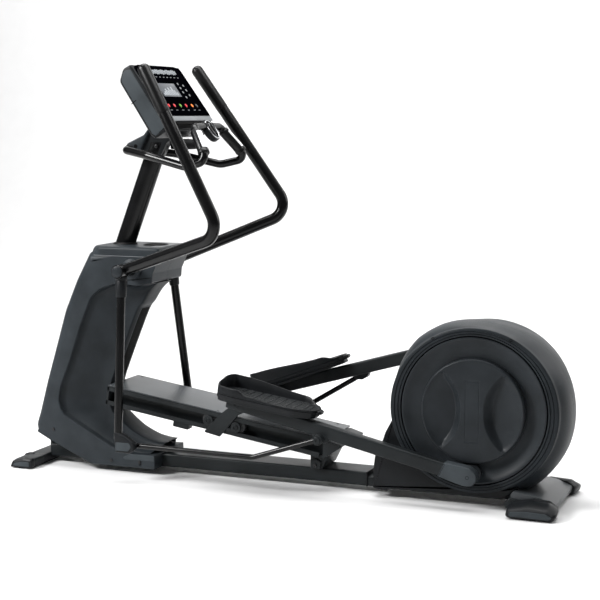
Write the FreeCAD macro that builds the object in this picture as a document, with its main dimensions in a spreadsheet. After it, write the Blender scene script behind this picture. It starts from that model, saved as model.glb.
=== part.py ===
"""Rear-drive elliptical trainer, built as a parametric assembly.

Frame: +X runs from the console end to the crank end, +Z is up, -Y is the left-hand side of a
person who stands on the pedals and faces the console.  The origin is on the floor, in the middle
of the machine's length and width.  Lengths are millimetres, angles are degrees.
"""
import FreeCAD, Part

import math
import os
import re

import Sketcher

V = FreeCAD.Vector
LEFT = -1
RIGHT = 1
SIDES = {"left": LEFT, "right": RIGHT}
Y_AXIS = V(0, 1, 0)

doc = FreeCAD.newDocument("elliptical_trainer")
sheet = doc.addObject("Spreadsheet::Sheet", "dims")
nodes = {}
names_in_sheet = []

DRIVING = {
    # base frame
    "beam_front": -1003, "beam_step": 352, "beam_rear": 930, "beam_half": 62, "beam_low": 22,
    "beam_top": 74, "rear_beam_half": 60, "rear_beam_top": 58, "beam_wall": 3,
    # stabilisers and feet
    "front_bar_front": -1100, "front_bar_rear": -1003, "front_bar_half": 190, "front_bar_end": 219,
    "front_bar_low": 4, "front_bar_top": 38,
    "wheel_x": -1081, "wheel_up": 20.5, "wheel_radius": 18, "wheel_inner": 92, "wheel_outer": 114,
    "wheel_pin": 5,
    "rear_bar_half": 150, "rear_bar_rear": 1078, "wing_front": 914, "wing_rear": 1100,
    "wing_end": 243, "wing_top": 55, "foot_pad": 18,
    # tower
    "shroud_half": 130, "cowl_half": 66, "shroud_wall": 4, "deck_low": 868, "deck_top": 890,
    "deck_half": 130, "column_half": 40, "holder_hole": 40, "holder_x": -548,
    "mast_long": 84, "mast_wide": 58, "mast_wall": 3, "mast_x": -693, "mast_top": 1240,
    "mast_lean": 21.1,
    # rocker pivot
    "pivot_x": -586, "pivot_up": 808, "axle_radius": 12, "hub_inner": 146, "hub_outer": 254,
    "hub_radius": 25, "bearing_ring": 38, "fit_gap": 0.05,
    # rocker arms
    "handle_radius": 22, "handle_wall": 3, "grip_radius": 24.5, "link_radius": 16.5, "link_top": 214,
    "link_plane": 264,
    "joint_x": 45, "joint_drop": 668, "joint_face": 247, "joint_outer": 281,
    # static handlebar
    "bar_radius": 14, "fixed_grip_radius": 18,
    # console
    "console_x": -401, "console_up": 1391, "console_tilt": 36, "console_half": 205,
    "panel_tall": 235, "panel_half": 196, "panel_thick": 5, "button_radius": 7.5,
    "button_row": 49, "button_gap": 0.3, "button_proud": 2.5,
    "pod_x": -302, "pod_up": 1342, "pod_wide": 38, "pod_tall": 46, "pod_deep": 26, "pod_recess": 10,
    "key_y": 14, "key_wide": 9, "key_tall": 28, "key_proud": 3, "key_axis": 3.5, "key_pin": 2,
    "bar_end": 30, "bar_in_pod": 20,
    # ramp
    "ramp_x": -703, "ramp_up": 341, "ramp_slope": 8.7, "rail_long": 906, "rail_tall": 73,
    "rail_inner": 78, "rail_outer": 128, "rail_wall": 5, "rail_lip": 17, "cover_long": 930,
    "cover_half": 125, "cover_thick": 5, "ramp_stub_half": 30, "ramp_stub_low": 285,
    "ramp_stub_top": 318,
    # carriages, pedal arms and pedals
    "roller_radius": 31.2, "roller_bore": 8, "roller_inner": 90, "roller_outer": 118,
    "roller_ahead": 148, "roller_behind": 34, "plate_inner": 131, "plate_outer": 137,
    "arm_above": 74, "arm_long": 912, "arm_inner": 167, "arm_outer": 207, "arm_half": 25,
    "arm_wall": 3, "arm_pin": 10, "cap_radius": 34, "boss_along": 351, "boss_drop": 27,
    "pedal_centre": 173, "pedal_half": 82.5, "pedal_front": -80, "pedal_rear": 324,
    "pedal_lift": 4.6,
    # push rods
    "rod_radius": 9.5, "rod_sag": 58, "rod_plane": 236, "stud_radius": 8, "eye_radius": 19, "eye_half": 8,
    # cranks and housing
    "crank_x": 772, "crank_up": 351.5, "crank_throw": 226, "disc_radius": 265.5,
    "disc_inner": 126, "disc_outer": 138, "hub_cover_radius": 189, "hub_cover_outer": 152,
    "housing_radius": 302, "housing_bulge": 313, "housing_half": 138, "housing_wall": 4,
    "skirt_half": 120, "crank_axle_radius": 15, "pulley_radius": 130, "belt_half": 10,
    "frame_plate_inner": 54, "frame_plate_outer": 60, "bearing_radius": 26,
    "flywheel_x": 560, "flywheel_up": 226, "flywheel_radius": 105, "flywheel_pulley": 24,
    "flywheel_shaft": 10, "belt_thick": 3,
}


def store(name, number):
    """Put one plain number in the sheet under a word."""
    names_in_sheet.append(name)
    row = len(names_in_sheet)
    sheet.set("A%d" % row, name)
    sheet.set("B%d" % row, repr(round(float(number), 4)))
    sheet.setAlias("B%d" % row, name)


def expr(text):
    """Turn 'beam_half - 3' into an expression that FreeCAD reads from the sheet."""
    return re.sub(r"[a-z][a-z_]+", lambda word: "dims." + word.group(0), str(text))


def val(text):
    """The number that an expression gives now."""
    return float(sheet.evalExpression(re.sub(r"dims\.", "", expr(text))))


for dimension, size in DRIVING.items():
    store(dimension, size)
doc.recompute()


# ---------------------------------------------------------------- where the linkage stands at rest
def pivot_on_ramp(pin_x, pin_up):
    """Front pivot of a pedal arm: on the line above the ramp, one arm length from its crank pin."""
    slope = math.tan(math.radians(val("ramp_slope")))
    low = val("ramp_x")
    high = val("crank_x")
    for _ in range(60):
        x = (low + high) / 2
        up = val("ramp_up") + val("arm_above") - slope * (x - val("ramp_x"))
        if math.hypot(pin_x - x, pin_up - up) > val("arm_long"):
            low = x
        else:
            high = x
    return x, up


def boss_place(pivot, angle):
    """The push rod's boss on a pedal arm whose rear end is raised by an angle."""
    along = V(math.cos(angle), 0, math.sin(angle))
    across = V(-math.sin(angle), 0, math.cos(angle))
    return V(pivot[0], 0, pivot[1]) + along * val("boss_along") - across * val("boss_drop")


def joint_place(swing):
    """The rocker's lower joint when the rocker has swung its foot rearwards by an angle."""
    reach = math.hypot(val("joint_x"), val("joint_drop"))
    lean = math.atan2(val("joint_x"), val("joint_drop")) + swing
    return V(val("pivot_x") + reach * math.sin(lean), 0, val("pivot_up") - reach * math.cos(lean))


def rocker_swing(boss, rod_length):
    """Swing of a rocker whose push rod has a set length and ends at a boss."""
    low = math.radians(-20)
    high = math.radians(30)
    for _ in range(60):
        swing = (low + high) / 2
        if (boss - joint_place(swing)).Length > rod_length:
            low = swing
        else:
            high = swing
    return swing


pin_up = {"left": val("crank_up - crank_throw"), "right": val("crank_up + crank_throw")}
rod_length = None
for side in SIDES:
    pivot = pivot_on_ramp(val("crank_x"), pin_up[side])
    rise = math.atan2(pin_up[side] - pivot[1], val("crank_x") - pivot[0])
    boss = boss_place(pivot, rise)
    if rod_length is None:
        rod_length = (boss - joint_place(0)).Length
        swing = 0
    else:
        swing = rocker_swing(boss, rod_length)
    joint = joint_place(swing)
    store(side + "_arm_x", pivot[0])
    store(side + "_arm_up", pivot[1])
    store(side + "_arm_rise", math.degrees(rise))
    store(side + "_swing", math.degrees(swing))
    store(side + "_boss_x", boss.x)
    store(side + "_boss_up", boss.z)
    store(side + "_rod_rise", math.degrees(math.atan2(boss.z - joint.z, boss.x - joint.x)))
store("rod_long", rod_length)
doc.recompute()


# ---------------------------------------------------------------- building helpers
def body(label):
    piece = doc.addObject("PartDesign::Body", label)
    piece.Label = label
    nodes[label] = piece
    return piece


def sketch(piece, role, offset="0"):
    """A sketch on one of the body's own origin planes, moved along the plane's normal."""
    drawing = piece.newObject("Sketcher::SketchObject", piece.Name + "_sketch")
    plane = [feature for feature in piece.Origin.OriginFeatures if feature.Role == role][0]
    drawing.AttachmentSupport = [(plane, "")]
    drawing.MapMode = "FlatFace"
    drawing.setExpression("AttachmentOffset.Base.z", expr(offset))
    return drawing


def outline(drawing, corners):
    """A closed outline; each corner is a pair of expressions held by two distances."""
    first = drawing.GeometryCount
    places = [V(val(u), val(w), 0) for u, w in corners]
    total = len(corners)
    for index, place in enumerate(places):
        drawing.addGeometry(Part.LineSegment(place, places[(index + 1) % total]), False)
    for index in range(total):
        follower = first + (index + 1) % total
        drawing.addConstraint(Sketcher.Constraint("Coincident", first + index, 2, follower, 1))
    for index, (u, w) in enumerate(corners):
        for kind, text, number in (("DistanceX", u, places[index].x), ("DistanceY", w, places[index].y)):
            rule = drawing.addConstraint(Sketcher.Constraint(kind, -1, 1, first + index, 1, number))
            drawing.setExpression("Constraints[%d]" % rule, expr(text))


def circle(drawing, u, w, radius):
    """A circle held by its centre and radius."""
    centre = V(val(u), val(w), 0)
    index = drawing.addGeometry(Part.Circle(centre, V(0, 0, 1), val(radius)), False)
    for kind, text, number in (("DistanceX", u, centre.x), ("DistanceY", w, centre.y)):
        rule = drawing.addConstraint(Sketcher.Constraint(kind, -1, 1, index, 3, number))
        drawing.setExpression("Constraints[%d]" % rule, expr(text))
    rule = drawing.addConstraint(Sketcher.Constraint("Radius", index, val(radius)))
    drawing.setExpression("Constraints[%d]" % rule, expr(radius))


def box_outline(drawing, u_low, w_low, u_high, w_high):
    outline(drawing, [(u_low, w_low), (u_high, w_low), (u_high, w_high), (u_low, w_high)])


def pad(piece, drawing, length, kind="PartDesign::Pad", reverse=False, both=False):
    feature = piece.newObject(kind, piece.Name + "_feature")
    feature.Profile = drawing
    feature.setExpression("Length", expr(length))
    feature.Reversed = reverse
    feature.Midplane = both
    drawing.Visibility = False
    piece.Tip = feature
    return feature


def side_sketch(piece, side, inner):
    """A sketch in the XZ plane at the inner face of a piece on one side of the machine."""
    return sketch(piece, "XZ_Plane", "%d * (%s)" % (-side, inner))


def side_pad(piece, side, inner, outer, draw, cut=False):
    """Material, or a cut, between two distances from the middle plane on one side."""
    drawing = side_sketch(piece, side, inner)
    draw(drawing)
    kind = "PartDesign::Pocket" if cut else "PartDesign::Pad"
    reverse = (side == RIGHT) != cut
    return pad(piece, drawing, "(%s) - (%s)" % (outer, inner), kind, reverse)


def middle_pad(piece, half, draw, cut=False):
    """Material, or a cut, centred on the middle plane."""
    drawing = sketch(piece, "XZ_Plane")
    draw(drawing)
    kind = "PartDesign::Pocket" if cut else "PartDesign::Pad"
    return pad(piece, drawing, "2 * (%s)" % half, kind, both=True)


def soften(piece, radius, choose, kind="PartDesign::Fillet"):
    """Round or bevel the edges of the last feature that a rule chooses."""
    doc.recompute()
    base = piece.Tip
    edges = ["Edge%d" % (n + 1) for n, edge in enumerate(base.Shape.Edges) if choose(edge)]
    feature = piece.newObject(kind, piece.Name + "_soft")
    feature.Base = (base, edges)
    feature.setExpression("Size" if kind.endswith("Chamfer") else "Radius", expr(radius))
    piece.Tip = feature
    return feature


def place(piece, x="0", y="0", up="0", turn=None):
    """Bind a piece's Placement; a positive turn raises its rear end."""
    bound = [("Base.x", x), ("Base.y", y), ("Base.z", up)]
    if turn:
        piece.Placement = FreeCAD.Placement(V(0, 0, 0), FreeCAD.Rotation(V(0, -1, 0), val(turn)))
        bound.append(("Rotation.Angle", turn))
    for key, text in bound:
        piece.setExpression("Placement." + key, expr(text))


def rounded_path(points, radii):
    """Straight runs joined by tangent arcs."""
    edges = []
    start = points[0]
    for before, corner, after, radius in zip(points, points[1:], points[2:], radii):
        back = (before - corner).normalize()
        ahead = (after - corner).normalize()
        half = back.getAngle(ahead) / 2
        reach = radius / math.tan(half)
        middle = (back + ahead).normalize()
        centre = corner + middle * (radius / math.sin(half))
        first = corner + back * reach
        last = corner + ahead * reach
        edges.append(Part.LineSegment(start, first).toShape())
        edges.append(Part.Arc(first, centre - middle * radius, last).toShape())
        start = last
    edges.append(Part.LineSegment(start, points[-1]).toShape())
    return Part.Wire(edges)


def tube(points, radii, radius, wall=None):
    """A round tube, or a bar where no wall is given, along a rounded path."""
    path = rounded_path(points, radii)
    along = points[1] - points[0]

    def swept(size):
        ring = Part.Wire([Part.Circle(points[0], along, size).toShape()])
        return path.makePipeShell([ring], True, False)

    solid = swept(radius)
    if wall:
        solid = solid.cut(swept(radius - wall))
    return solid


def rod_between(start, end, radius):
    axis = end - start
    return Part.makeCylinder(radius, axis.Length, start, axis)


def feature(label, shape, placement=None):
    """A piece whose bent tubes neither sketches nor primitives give."""
    piece = doc.addObject("Part::Feature", label)
    piece.Label = label
    piece.Shape = shape
    if placement:
        piece.Placement = placement
    nodes[label] = piece
    return piece


def group(label, pieces):
    """Identical pieces that share one node as separate solids."""
    for piece in pieces:
        nodes.pop(piece.Label, None)
    compound = doc.addObject("Part::Compound", label)
    compound.Label = label
    compound.Links = pieces
    nodes[label] = compound
    return compound


# ---------------------------------------------------------------- base frame
def base_frame():
    """Welded base: hollow beam, lower rear beam and the two plates that carry the drive."""
    piece = body("base_frame")
    front = sketch(piece, "YZ_Plane", "beam_front")
    box_outline(front, "-beam_half", "beam_low", "beam_half", "beam_top")
    box_outline(front, "-beam_half + beam_wall", "beam_low + beam_wall",
                "beam_half - beam_wall", "beam_top - beam_wall")
    pad(piece, front, "beam_step - beam_front")
    rear = sketch(piece, "YZ_Plane", "beam_step")
    box_outline(rear, "-rear_beam_half", "beam_low", "rear_beam_half", "rear_beam_top")
    box_outline(rear, "-rear_beam_half + beam_wall", "beam_low + 2 * beam_wall",
                "rear_beam_half - beam_wall", "rear_beam_top - beam_wall")
    pad(piece, rear, "beam_rear - beam_step")
    for side in SIDES.values():
        side_pad(piece, side, "frame_plate_inner", "frame_plate_outer", drive_plate)
    return piece


def drive_plate(drawing):
    """Side plate from the rear beam up to the crank and flywheel bearings."""
    outline(drawing, [
        ("flywheel_x - 60", "rear_beam_top"), ("crank_x + 110", "rear_beam_top"),
        ("crank_x + 50", "crank_up + 45"), ("crank_x - 50", "crank_up + 45"),
        ("flywheel_x - 20", "flywheel_up + 60"), ("flywheel_x - 60", "flywheel_up"),
    ])
    circle(drawing, "crank_x", "crank_up", "bearing_radius")
    circle(drawing, "flywheel_x", "flywheel_up", "flywheel_shaft + fit_gap")


def front_stabilizer():
    """Front cross bar, notched for the transport wheels."""
    piece = body("front_stabilizer")
    middle_pad(piece, "front_bar_half", front_section)
    for side in SIDES.values():
        side_pad(piece, side, "wheel_inner - 3", "wheel_outer + 3", lambda d: box_outline(
            d, "front_bar_front - 5", "0", "wheel_x + wheel_radius + 3", "front_bar_top + 5"), cut=True)
    side_pad(piece, LEFT, "-wheel_outer - 6", "wheel_outer + 6",
             lambda d: circle(d, "wheel_x", "wheel_up", "wheel_pin + fit_gap"), cut=True)
    return piece


def front_section(drawing):
    """Section of the front cross bar, its top narrower than its foot."""
    outline(drawing, [
        ("front_bar_front", "front_bar_low"), ("front_bar_rear", "front_bar_low"),
        ("front_bar_rear", "front_bar_top"), ("front_bar_front + 12", "front_bar_top - 6"),
    ])


def front_end_caps():
    caps = []
    for name, side in SIDES.items():
        cap = body("front_cap_" + name)
        side_pad(cap, side, "front_bar_half", "front_bar_end", front_section)
        caps.append(cap)
    return group("front_end_caps", caps)


def rear_stabilizer():
    """Broad hollow cross bar whose top falls towards its rear edge."""
    piece = body("rear_stabilizer")
    corners = [
        ("beam_rear", "wing_top - 40"), ("rear_bar_rear", "wing_top - 40"),
        ("rear_bar_rear", "wing_top - 15"), ("rear_bar_rear - 60", "wing_top + 10"),
        ("beam_rear", "wing_top + 21"),
    ]
    middle_pad(piece, "rear_bar_half", lambda d: outline(d, corners))
    middle_pad(piece, "rear_bar_half + 1", lambda d: outline(d, inset(corners, 4)), cut=True)
    return piece


def rear_end_caps():
    """Low wing-shaped feet on the ends of the rear cross bar."""
    caps = []
    for name, side in SIDES.items():
        cap = body("rear_cap_" + name)

        def wing(drawing):
            outline(drawing, [
                ("wing_front", "6"), ("wing_rear - 20", "6"), ("wing_rear", "wing_top - 12"),
                ("wing_rear - 6", "wing_top"), ("wing_front + 40", "wing_top - 2"),
                ("wing_front + 8", "wing_top - 20"),
            ])

        side_pad(cap, side, "rear_bar_half", "wing_end", wing)
        slope = sketch(cap, "YZ_Plane", "wing_front - 5")
        outline(slope, [
            ("%d * (wing_end - 24)" % side, "wing_top + 5"), ("%d * (wing_end + 5)" % side, "wing_top + 5"),
            ("%d * (wing_end + 5)" % side, "4"), ("%d * (wing_end)" % side, "4"),
        ])
        pad(cap, slope, "wing_rear - wing_front + 10", "PartDesign::Pocket", reverse=True)
        caps.append(cap)
    return group("rear_end_caps", caps)


def levelling_feet():
    """Four round pads that the machine stands on."""
    pads = []
    places = [("front_bar_front + 50", "front_bar_half + 10", "front_bar_low"),
              ("wing_rear - 92", "wing_end - 24", "6")]
    for x, out, tall in places:
        for side in SIDES.values():
            foot = doc.addObject("Part::Cylinder", "levelling_foot")
            foot.setExpression("Radius", expr("foot_pad"))
            foot.setExpression("Height", expr(tall))
            foot.setExpression("Placement.Base.x", expr(x))
            foot.setExpression("Placement.Base.y", expr("%d * (%s)" % (side, out)))
            pads.append(foot)
    return group("levelling_feet", pads)


def transport_wheels():
    """Two small wheels on one axle in the front bar; they meet the floor when the rear is lifted."""
    piece = body("transport_wheels")
    side_pad(piece, LEFT, "-wheel_outer - 5", "wheel_outer + 5",
             lambda d: circle(d, "wheel_x", "wheel_up", "wheel_pin"))
    for side in SIDES.values():
        side_pad(piece, side, "wheel_inner", "wheel_outer",
                 lambda d: circle(d, "wheel_x", "wheel_up", "wheel_radius"))
    return piece


# ---------------------------------------------------------------- tower
BAND = [
    ("-782", "deck_low"), ("-472", "deck_low"), ("-484", "745"), ("-560", "738"), ("-660", "747"),
    ("-728", "723"), ("-769", "689"), ("-817", "576"), ("-871", "424"), ("-912", "330"),
    ("-923", "272"), ("-914", "237"), ("-897", "212"), ("-789", "153"), ("-685", "99"),
    ("-600", "80"), ("-500", "80"), ("-500", "24"), ("-784", "24"), ("-970", "105"),
    ("-1028", "134"), ("-1040", "166"), ("-1025", "210"), ("-988", "342"), ("-948", "470"),
    ("-899", "629"), ("-845", "752"),
]
COWL = [
    ("-800", "700"), ("-760", "760"), ("-560", "760"), ("-563", "702"), ("-609", "636"),
    ("-655", "528"), ("-702", "411"), ("-730", "330"), ("-735", "260"), ("-700", "206"),
    ("-630", "153"), ("-563", "122"), ("-488", "112"), ("-488", "beam_top + 2"),
    ("-780", "beam_top + 2"), ("-860", "110"), ("-950", "250"), ("-905", "450"),
]


def inset(corners, wall):
    """The same outline moved inwards by a wall, each corner along its bisector."""
    points = [V(val(u), val(w), 0) for u, w in corners]
    ring = []
    total = len(points)
    area = sum(points[i - 1].x * points[i].y - points[i].x * points[i - 1].y for i in range(total))
    turn = 1 if area > 0 else -1
    for index, point in enumerate(points):
        before = (point - points[index - 1]).normalize()
        after = (points[(index + 1) % total] - point).normalize()
        normal = V(-before.y - after.y, before.x + after.x, 0) * turn
        normal.normalize()
        cosine = abs(normal.dot(V(-after.y, after.x, 0) * turn))
        moved = point + normal * (wall / max(cosine, 0.4))
        ring.append(("%.2f" % moved.x, "%.2f" % moved.y))
    return ring


def shroud(name, side):
    """Half shell of the tower: a deep band round a recessed cowl."""
    piece = body(name + "_shroud")
    wall = val("shroud_wall")
    side_pad(piece, side, "0.3", "cowl_half", lambda d: outline(d, COWL))
    side_pad(piece, side, "0.3", "shroud_half", lambda d: outline(d, BAND))
    side_pad(piece, side, "0", "cowl_half - shroud_wall", lambda d: outline(d, inset(COWL, wall)), cut=True)
    side_pad(piece, side, "0", "shroud_half - shroud_wall", lambda d: outline(d, inset(BAND, wall)), cut=True)

    def beam_way(drawing):
        box_outline(drawing, "-1060", "10", "-480", "beam_top + 1")

    side_pad(piece, side, "0", "beam_half + 1", beam_way, cut=True)
    side_pad(piece, side, "0", "column_half + 2",
             lambda d: box_outline(d, "-880", "60", "-740", "90"), cut=True)
    side_pad(piece, side, "0", "column_half + 2",
             lambda d: box_outline(d, "-760", "deck_low - 20", "-540", "deck_low + 5"), cut=True)
    side_pad(piece, side, "0", "ramp_stub_half + 2",
             lambda d: box_outline(d, "-750", "ramp_stub_low - 3", "-705", "ramp_stub_top + 3"), cut=True)
    side_pad(piece, side, "shroud_half - 40", "shroud_half + 2",
             lambda d: circle(d, "pivot_x", "pivot_up", "axle_radius + 1"), cut=True)
    return piece


def tower_column():
    """Welded box column that carries the rocker axle and the mast."""
    piece = body("tower_column")

    def side_view(drawing):
        outline(drawing, [
            ("-872", "beam_top"), ("-792", "beam_top"), ("-732", "560"), ("-660", "700"),
            ("-560", "765"), ("-548", "850"), ("-640", "deck_low - 2"), ("-742", "deck_low - 2"),
        ])
        circle(drawing, "pivot_x", "pivot_up", "axle_radius")

    middle_pad(piece, "column_half", side_view)
    inside = [("-864", "beam_top - 5"), ("-800", "beam_top - 5"), ("-740", "562"), ("-668", "704"),
              ("-622", "740"), ("-622", "deck_low - 18"), ("-737", "deck_low - 18")]
    middle_pad(piece, "column_half - 4", lambda d: outline(d, inside), cut=True)
    return piece


def rocker_axle():
    """Fixed cross shaft with the bearing covers that sit against the shroud."""
    piece = body("rocker_axle")
    middle_pad(piece, "hub_outer - 2", lambda d: circle(d, "pivot_x", "pivot_up", "axle_radius"))
    for side in SIDES.values():
        side_pad(piece, side, "shroud_half + 1", "shroud_half + 12",
                 lambda d: circle(d, "pivot_x", "pivot_up", "bearing_ring"))
    return piece


def shroud_deck():
    """Top cover of the tower with the mast opening and the bottle holder."""
    piece = body("shroud_deck")
    plan = sketch(piece, "XY_Plane", "deck_low + 0.2")
    outline(plan, [
        ("-780", "-deck_half + 28"), ("-756", "-deck_half"), ("-482", "-deck_half"),
        ("-474", "-deck_half + 8"), ("-474", "deck_half - 8"), ("-482", "deck_half"),
        ("-756", "deck_half"), ("-780", "deck_half - 28"),
    ])
    pad(piece, plan, "deck_top - deck_low")
    soften(piece, "8", lambda e: e.BoundBox.ZMin > val("deck_top") - 1, "PartDesign::Chamfer")
    opening = sketch(piece, "XY_Plane", "deck_top + 5")
    circle(opening, "holder_x", "0", "holder_hole")
    pad(piece, opening, "23", "PartDesign::Pocket")
    way = sketch(piece, "XY_Plane", "deck_top + 5")
    box_outline(way, "mast_x - mast_long / 2 - 2", "-mast_wide / 2 - 2", "mast_x + mast_long / 2 + 14",
                "mast_wide / 2 + 2")
    pad(piece, way, "60", "PartDesign::Pocket")
    return piece


def mast():
    """Oval tube that leans rearwards from the column to the console."""
    piece = body("mast")
    base = sketch(piece, "XY_Plane", "deck_low - 2")
    for shrink in ("0", "mast_wall"):
        mast_section(base, "mast_long / 2 - (%s)" % shrink, "mast_wide / 2 - (%s)" % shrink)
    lean = math.radians(val("mast_lean"))
    tall = pad(piece, base, "mast_top - deck_low + 2")
    tall.UseCustomVector = True
    tall.Direction = V(math.sin(lean), 0, math.cos(lean))
    tall.AlongSketchNormal = True
    return piece


def mast_section(drawing, half_long, half_wide):
    """A closed oval: two half circles of the tube's half width joined by straight sides."""
    x = val("mast_x")
    wide = val(half_wide)
    run = val(half_long) - wide
    first = drawing.GeometryCount
    up = V(0, 0, 1)
    drawing.addGeometry(Part.ArcOfCircle(Part.Circle(V(x - run, 0, 0), up, wide), math.pi / 2, 1.5 * math.pi))
    drawing.addGeometry(Part.LineSegment(V(x - run, -wide, 0), V(x + run, -wide, 0)))
    drawing.addGeometry(Part.ArcOfCircle(Part.Circle(V(x + run, 0, 0), up, wide), -math.pi / 2, math.pi / 2))
    drawing.addGeometry(Part.LineSegment(V(x + run, wide, 0), V(x - run, wide, 0)))
    for index in range(4):
        follower = first + (index + 1) % 4
        drawing.addConstraint(Sketcher.Constraint("Coincident", first + index, 2, follower, 1))


# ---------------------------------------------------------------- console and static handlebar
def console_bracket():
    """Casting between the mast, the static handlebar and the back of the console."""
    piece = body("console_bracket")

    def side_view(drawing):
        outline(drawing, [
            ("-600", "mast_top"), ("-512", "mast_top"), ("-490", "1285"), ("-466", "1306"),
            ("-463.5", "1321"), ("-504", "1384"), ("-530", "1372"), ("-572", "1317"),
            ("-652", "1282"), ("-640", "1240"),
        ])

    middle_pad(piece, "38", side_view)
    middle_pad(piece, "50", lambda d: circle(d, "-640", "1262", "bar_radius + 0.3"), cut=True)
    return piece


def bar_top(side):
    """Where the static handlebar turns inwards over a grip, level with the middle pod."""
    tilt = math.radians(val("console_tilt"))
    depth = val("pod_deep") / 2
    rise = val("bar_in_pod")
    return V(val("pod_x") - depth * math.cos(tilt) - rise * math.sin(tilt), side * 114,
             val("pod_up") - depth * math.sin(tilt) + rise * math.cos(tilt))


def static_handlebar():
    """One bent tube round the front of the mast that rises to both grips and ends in the pod."""
    top = bar_top(RIGHT)
    right = [V(-640, 72, 1262), V(-515, 128, 1243), V(-340, 160, 1203), V(-238, 188, 1228), top,
             V(top.x, val("bar_end"), top.z)]
    left = [V(p.x, -p.y, p.z) for p in reversed(right)]
    bends = [30, 70, 70, 28, 24]
    return feature("static_handlebar", tube(left + right, bends[::-1] + bends, val("bar_radius"), 2.5))


def grip_line(side):
    """Centre line of the straight stretch that carries a fixed grip."""
    low = V(-238, side * 188, 1228)
    high = bar_top(side)
    along = (high - low).normalize()
    return low + along * 46, low + along * 146


def fixed_grips():
    grips = []
    for name, side in SIDES.items():
        low, high = grip_line(side)
        outer = rod_between(low, high, val("fixed_grip_radius"))
        bore = rod_between(low, high, val("bar_radius"))
        grips.append(feature("grip_" + name, outer.cut(bore)))
    return group("fixed_grips", grips)


def key_pod():
    """Oval housing of the quick keys, held by the ends of the static handlebar."""
    pod = body("key_pod")
    oval(pod, "0", "0", "pod_wide", "pod_tall", "pod_deep")
    for side in SIDES.values():
        oval(pod, "0", "%d * key_y" % side, "key_wide + 1", "key_tall + 1", "pod_recess", cut=True)
        side_pad(pod, side, "bar_end", "pod_wide + 5",
                 lambda d: circle(d, "-pod_deep / 2", "bar_in_pod", "bar_radius + 0.2"), cut=True)
        side_pad(pod, side, "key_y - key_wide - 2.2", "key_y + key_wide + 2.2",
                 lambda d: circle(d, "-key_axis", "0", "key_pin + fit_gap"), cut=True)
    place(pod, "pod_x", "0", "pod_up", "console_tilt")
    return pod


def oval(piece, offset, across, half_wide, half_tall, deep, cut=False):
    """An upright oval in a piece's own front face, padded or cut forwards from the user."""
    drawing = sketch(piece, "YZ_Plane", offset)
    middle = val(across)
    wide = val(half_wide)
    run = val(half_tall) - wide
    up = V(0, 0, 1)
    drawing.addGeometry(Part.ArcOfCircle(Part.Circle(V(middle, run, 0), up, wide), 0, math.pi))
    drawing.addGeometry(Part.LineSegment(V(middle - wide, run, 0), V(middle - wide, -run, 0)))
    drawing.addGeometry(Part.ArcOfCircle(Part.Circle(V(middle, -run, 0), up, wide), math.pi, 2 * math.pi))
    drawing.addGeometry(Part.LineSegment(V(middle + wide, -run, 0), V(middle + wide, run, 0)))
    for index, finish, start in ((0, 2, 1), (1, 2, 1), (2, 2, 1), (3, 2, 1)):
        drawing.addConstraint(Sketcher.Constraint("Coincident", index, finish, (index + 1) % 4, start))
    kind = "PartDesign::Pocket" if cut else "PartDesign::Pad"
    return pad(piece, drawing, deep, kind, reverse=not cut)


def quick_key(name, side):
    """Rocking key on a cross pin in the recess of the pod."""
    piece = body(name + "_quick_key")
    oval(piece, "key_proud", "%d * key_y" % side, "key_wide", "key_tall", "9")
    side_pad(piece, side, "key_y - key_wide - 2", "key_y + key_wide + 2",
             lambda d: circle(d, "-key_axis", "0", "key_pin"))
    place(piece, "pod_x", "0", "pod_up", "console_tilt")
    return piece


def console_shell():
    """Rear housing of the console, open towards the user behind the panel."""
    piece = body("console_shell")

    def section(drawing):
        outline(drawing, [
            ("0", "-2"), ("0", "panel_tall + 5"), ("-38", "panel_tall + 9"), ("-78", "215"),
            ("-90", "-20"), ("-83", "-42"), ("-28", "-46"),
        ])

    middle_pad(piece, "console_half", section)
    face = sketch(piece, "YZ_Plane", "0")
    box_outline(face, "-panel_half - 0.5", "4", "panel_half + 0.5", "panel_tall - 1")
    pad(piece, face, "68", "PartDesign::Pocket")
    place(piece, "console_x", "0", "console_up", "console_tilt")
    return piece


BUTTONS = {"stop": -117, "start": -69, "mode": -17, "slower": 32, "faster": 86, "fan": 127}


def console_panel():
    """Front panel with a round hole for each button."""
    piece = body("console_panel")
    face = sketch(piece, "YZ_Plane", "0")
    box_outline(face, "-panel_half", "4.5", "panel_half", "panel_tall - 1.5")
    for across in BUTTONS.values():
        circle(face, str(across), "button_row", "button_radius + button_gap")
    pad(piece, face, "panel_thick", reverse=True)
    place(piece, "console_x", "0", "console_up", "console_tilt")
    return piece


def console_button(name, across):
    """Round push button that slides in its hole in the panel."""
    piece = body(name + "_button")
    face = sketch(piece, "YZ_Plane", "button_proud")
    circle(face, str(across), "button_row", "button_radius")
    pad(piece, face, "7", reverse=True)
    place(piece, "console_x", "0", "console_up", "console_tilt")
    return piece


def accessory_tray():
    """Open tray under the console for a phone or keys."""
    piece = body("accessory_tray")

    def side_view(drawing):
        outline(drawing, [
            ("-443", "1303"), ("-397", "1332"), ("-390", "1300"), ("-398", "1264"), ("-446", "1264"),
        ])

    middle_pad(piece, "80", side_view)
    middle_pad(piece, "74", lambda d: outline(d, [
        ("-438", "1310"), ("-385", "1345"), ("-385", "1310"), ("-404", "1270"), ("-440", "1270"),
    ]), cut=True)
    return piece


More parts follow.
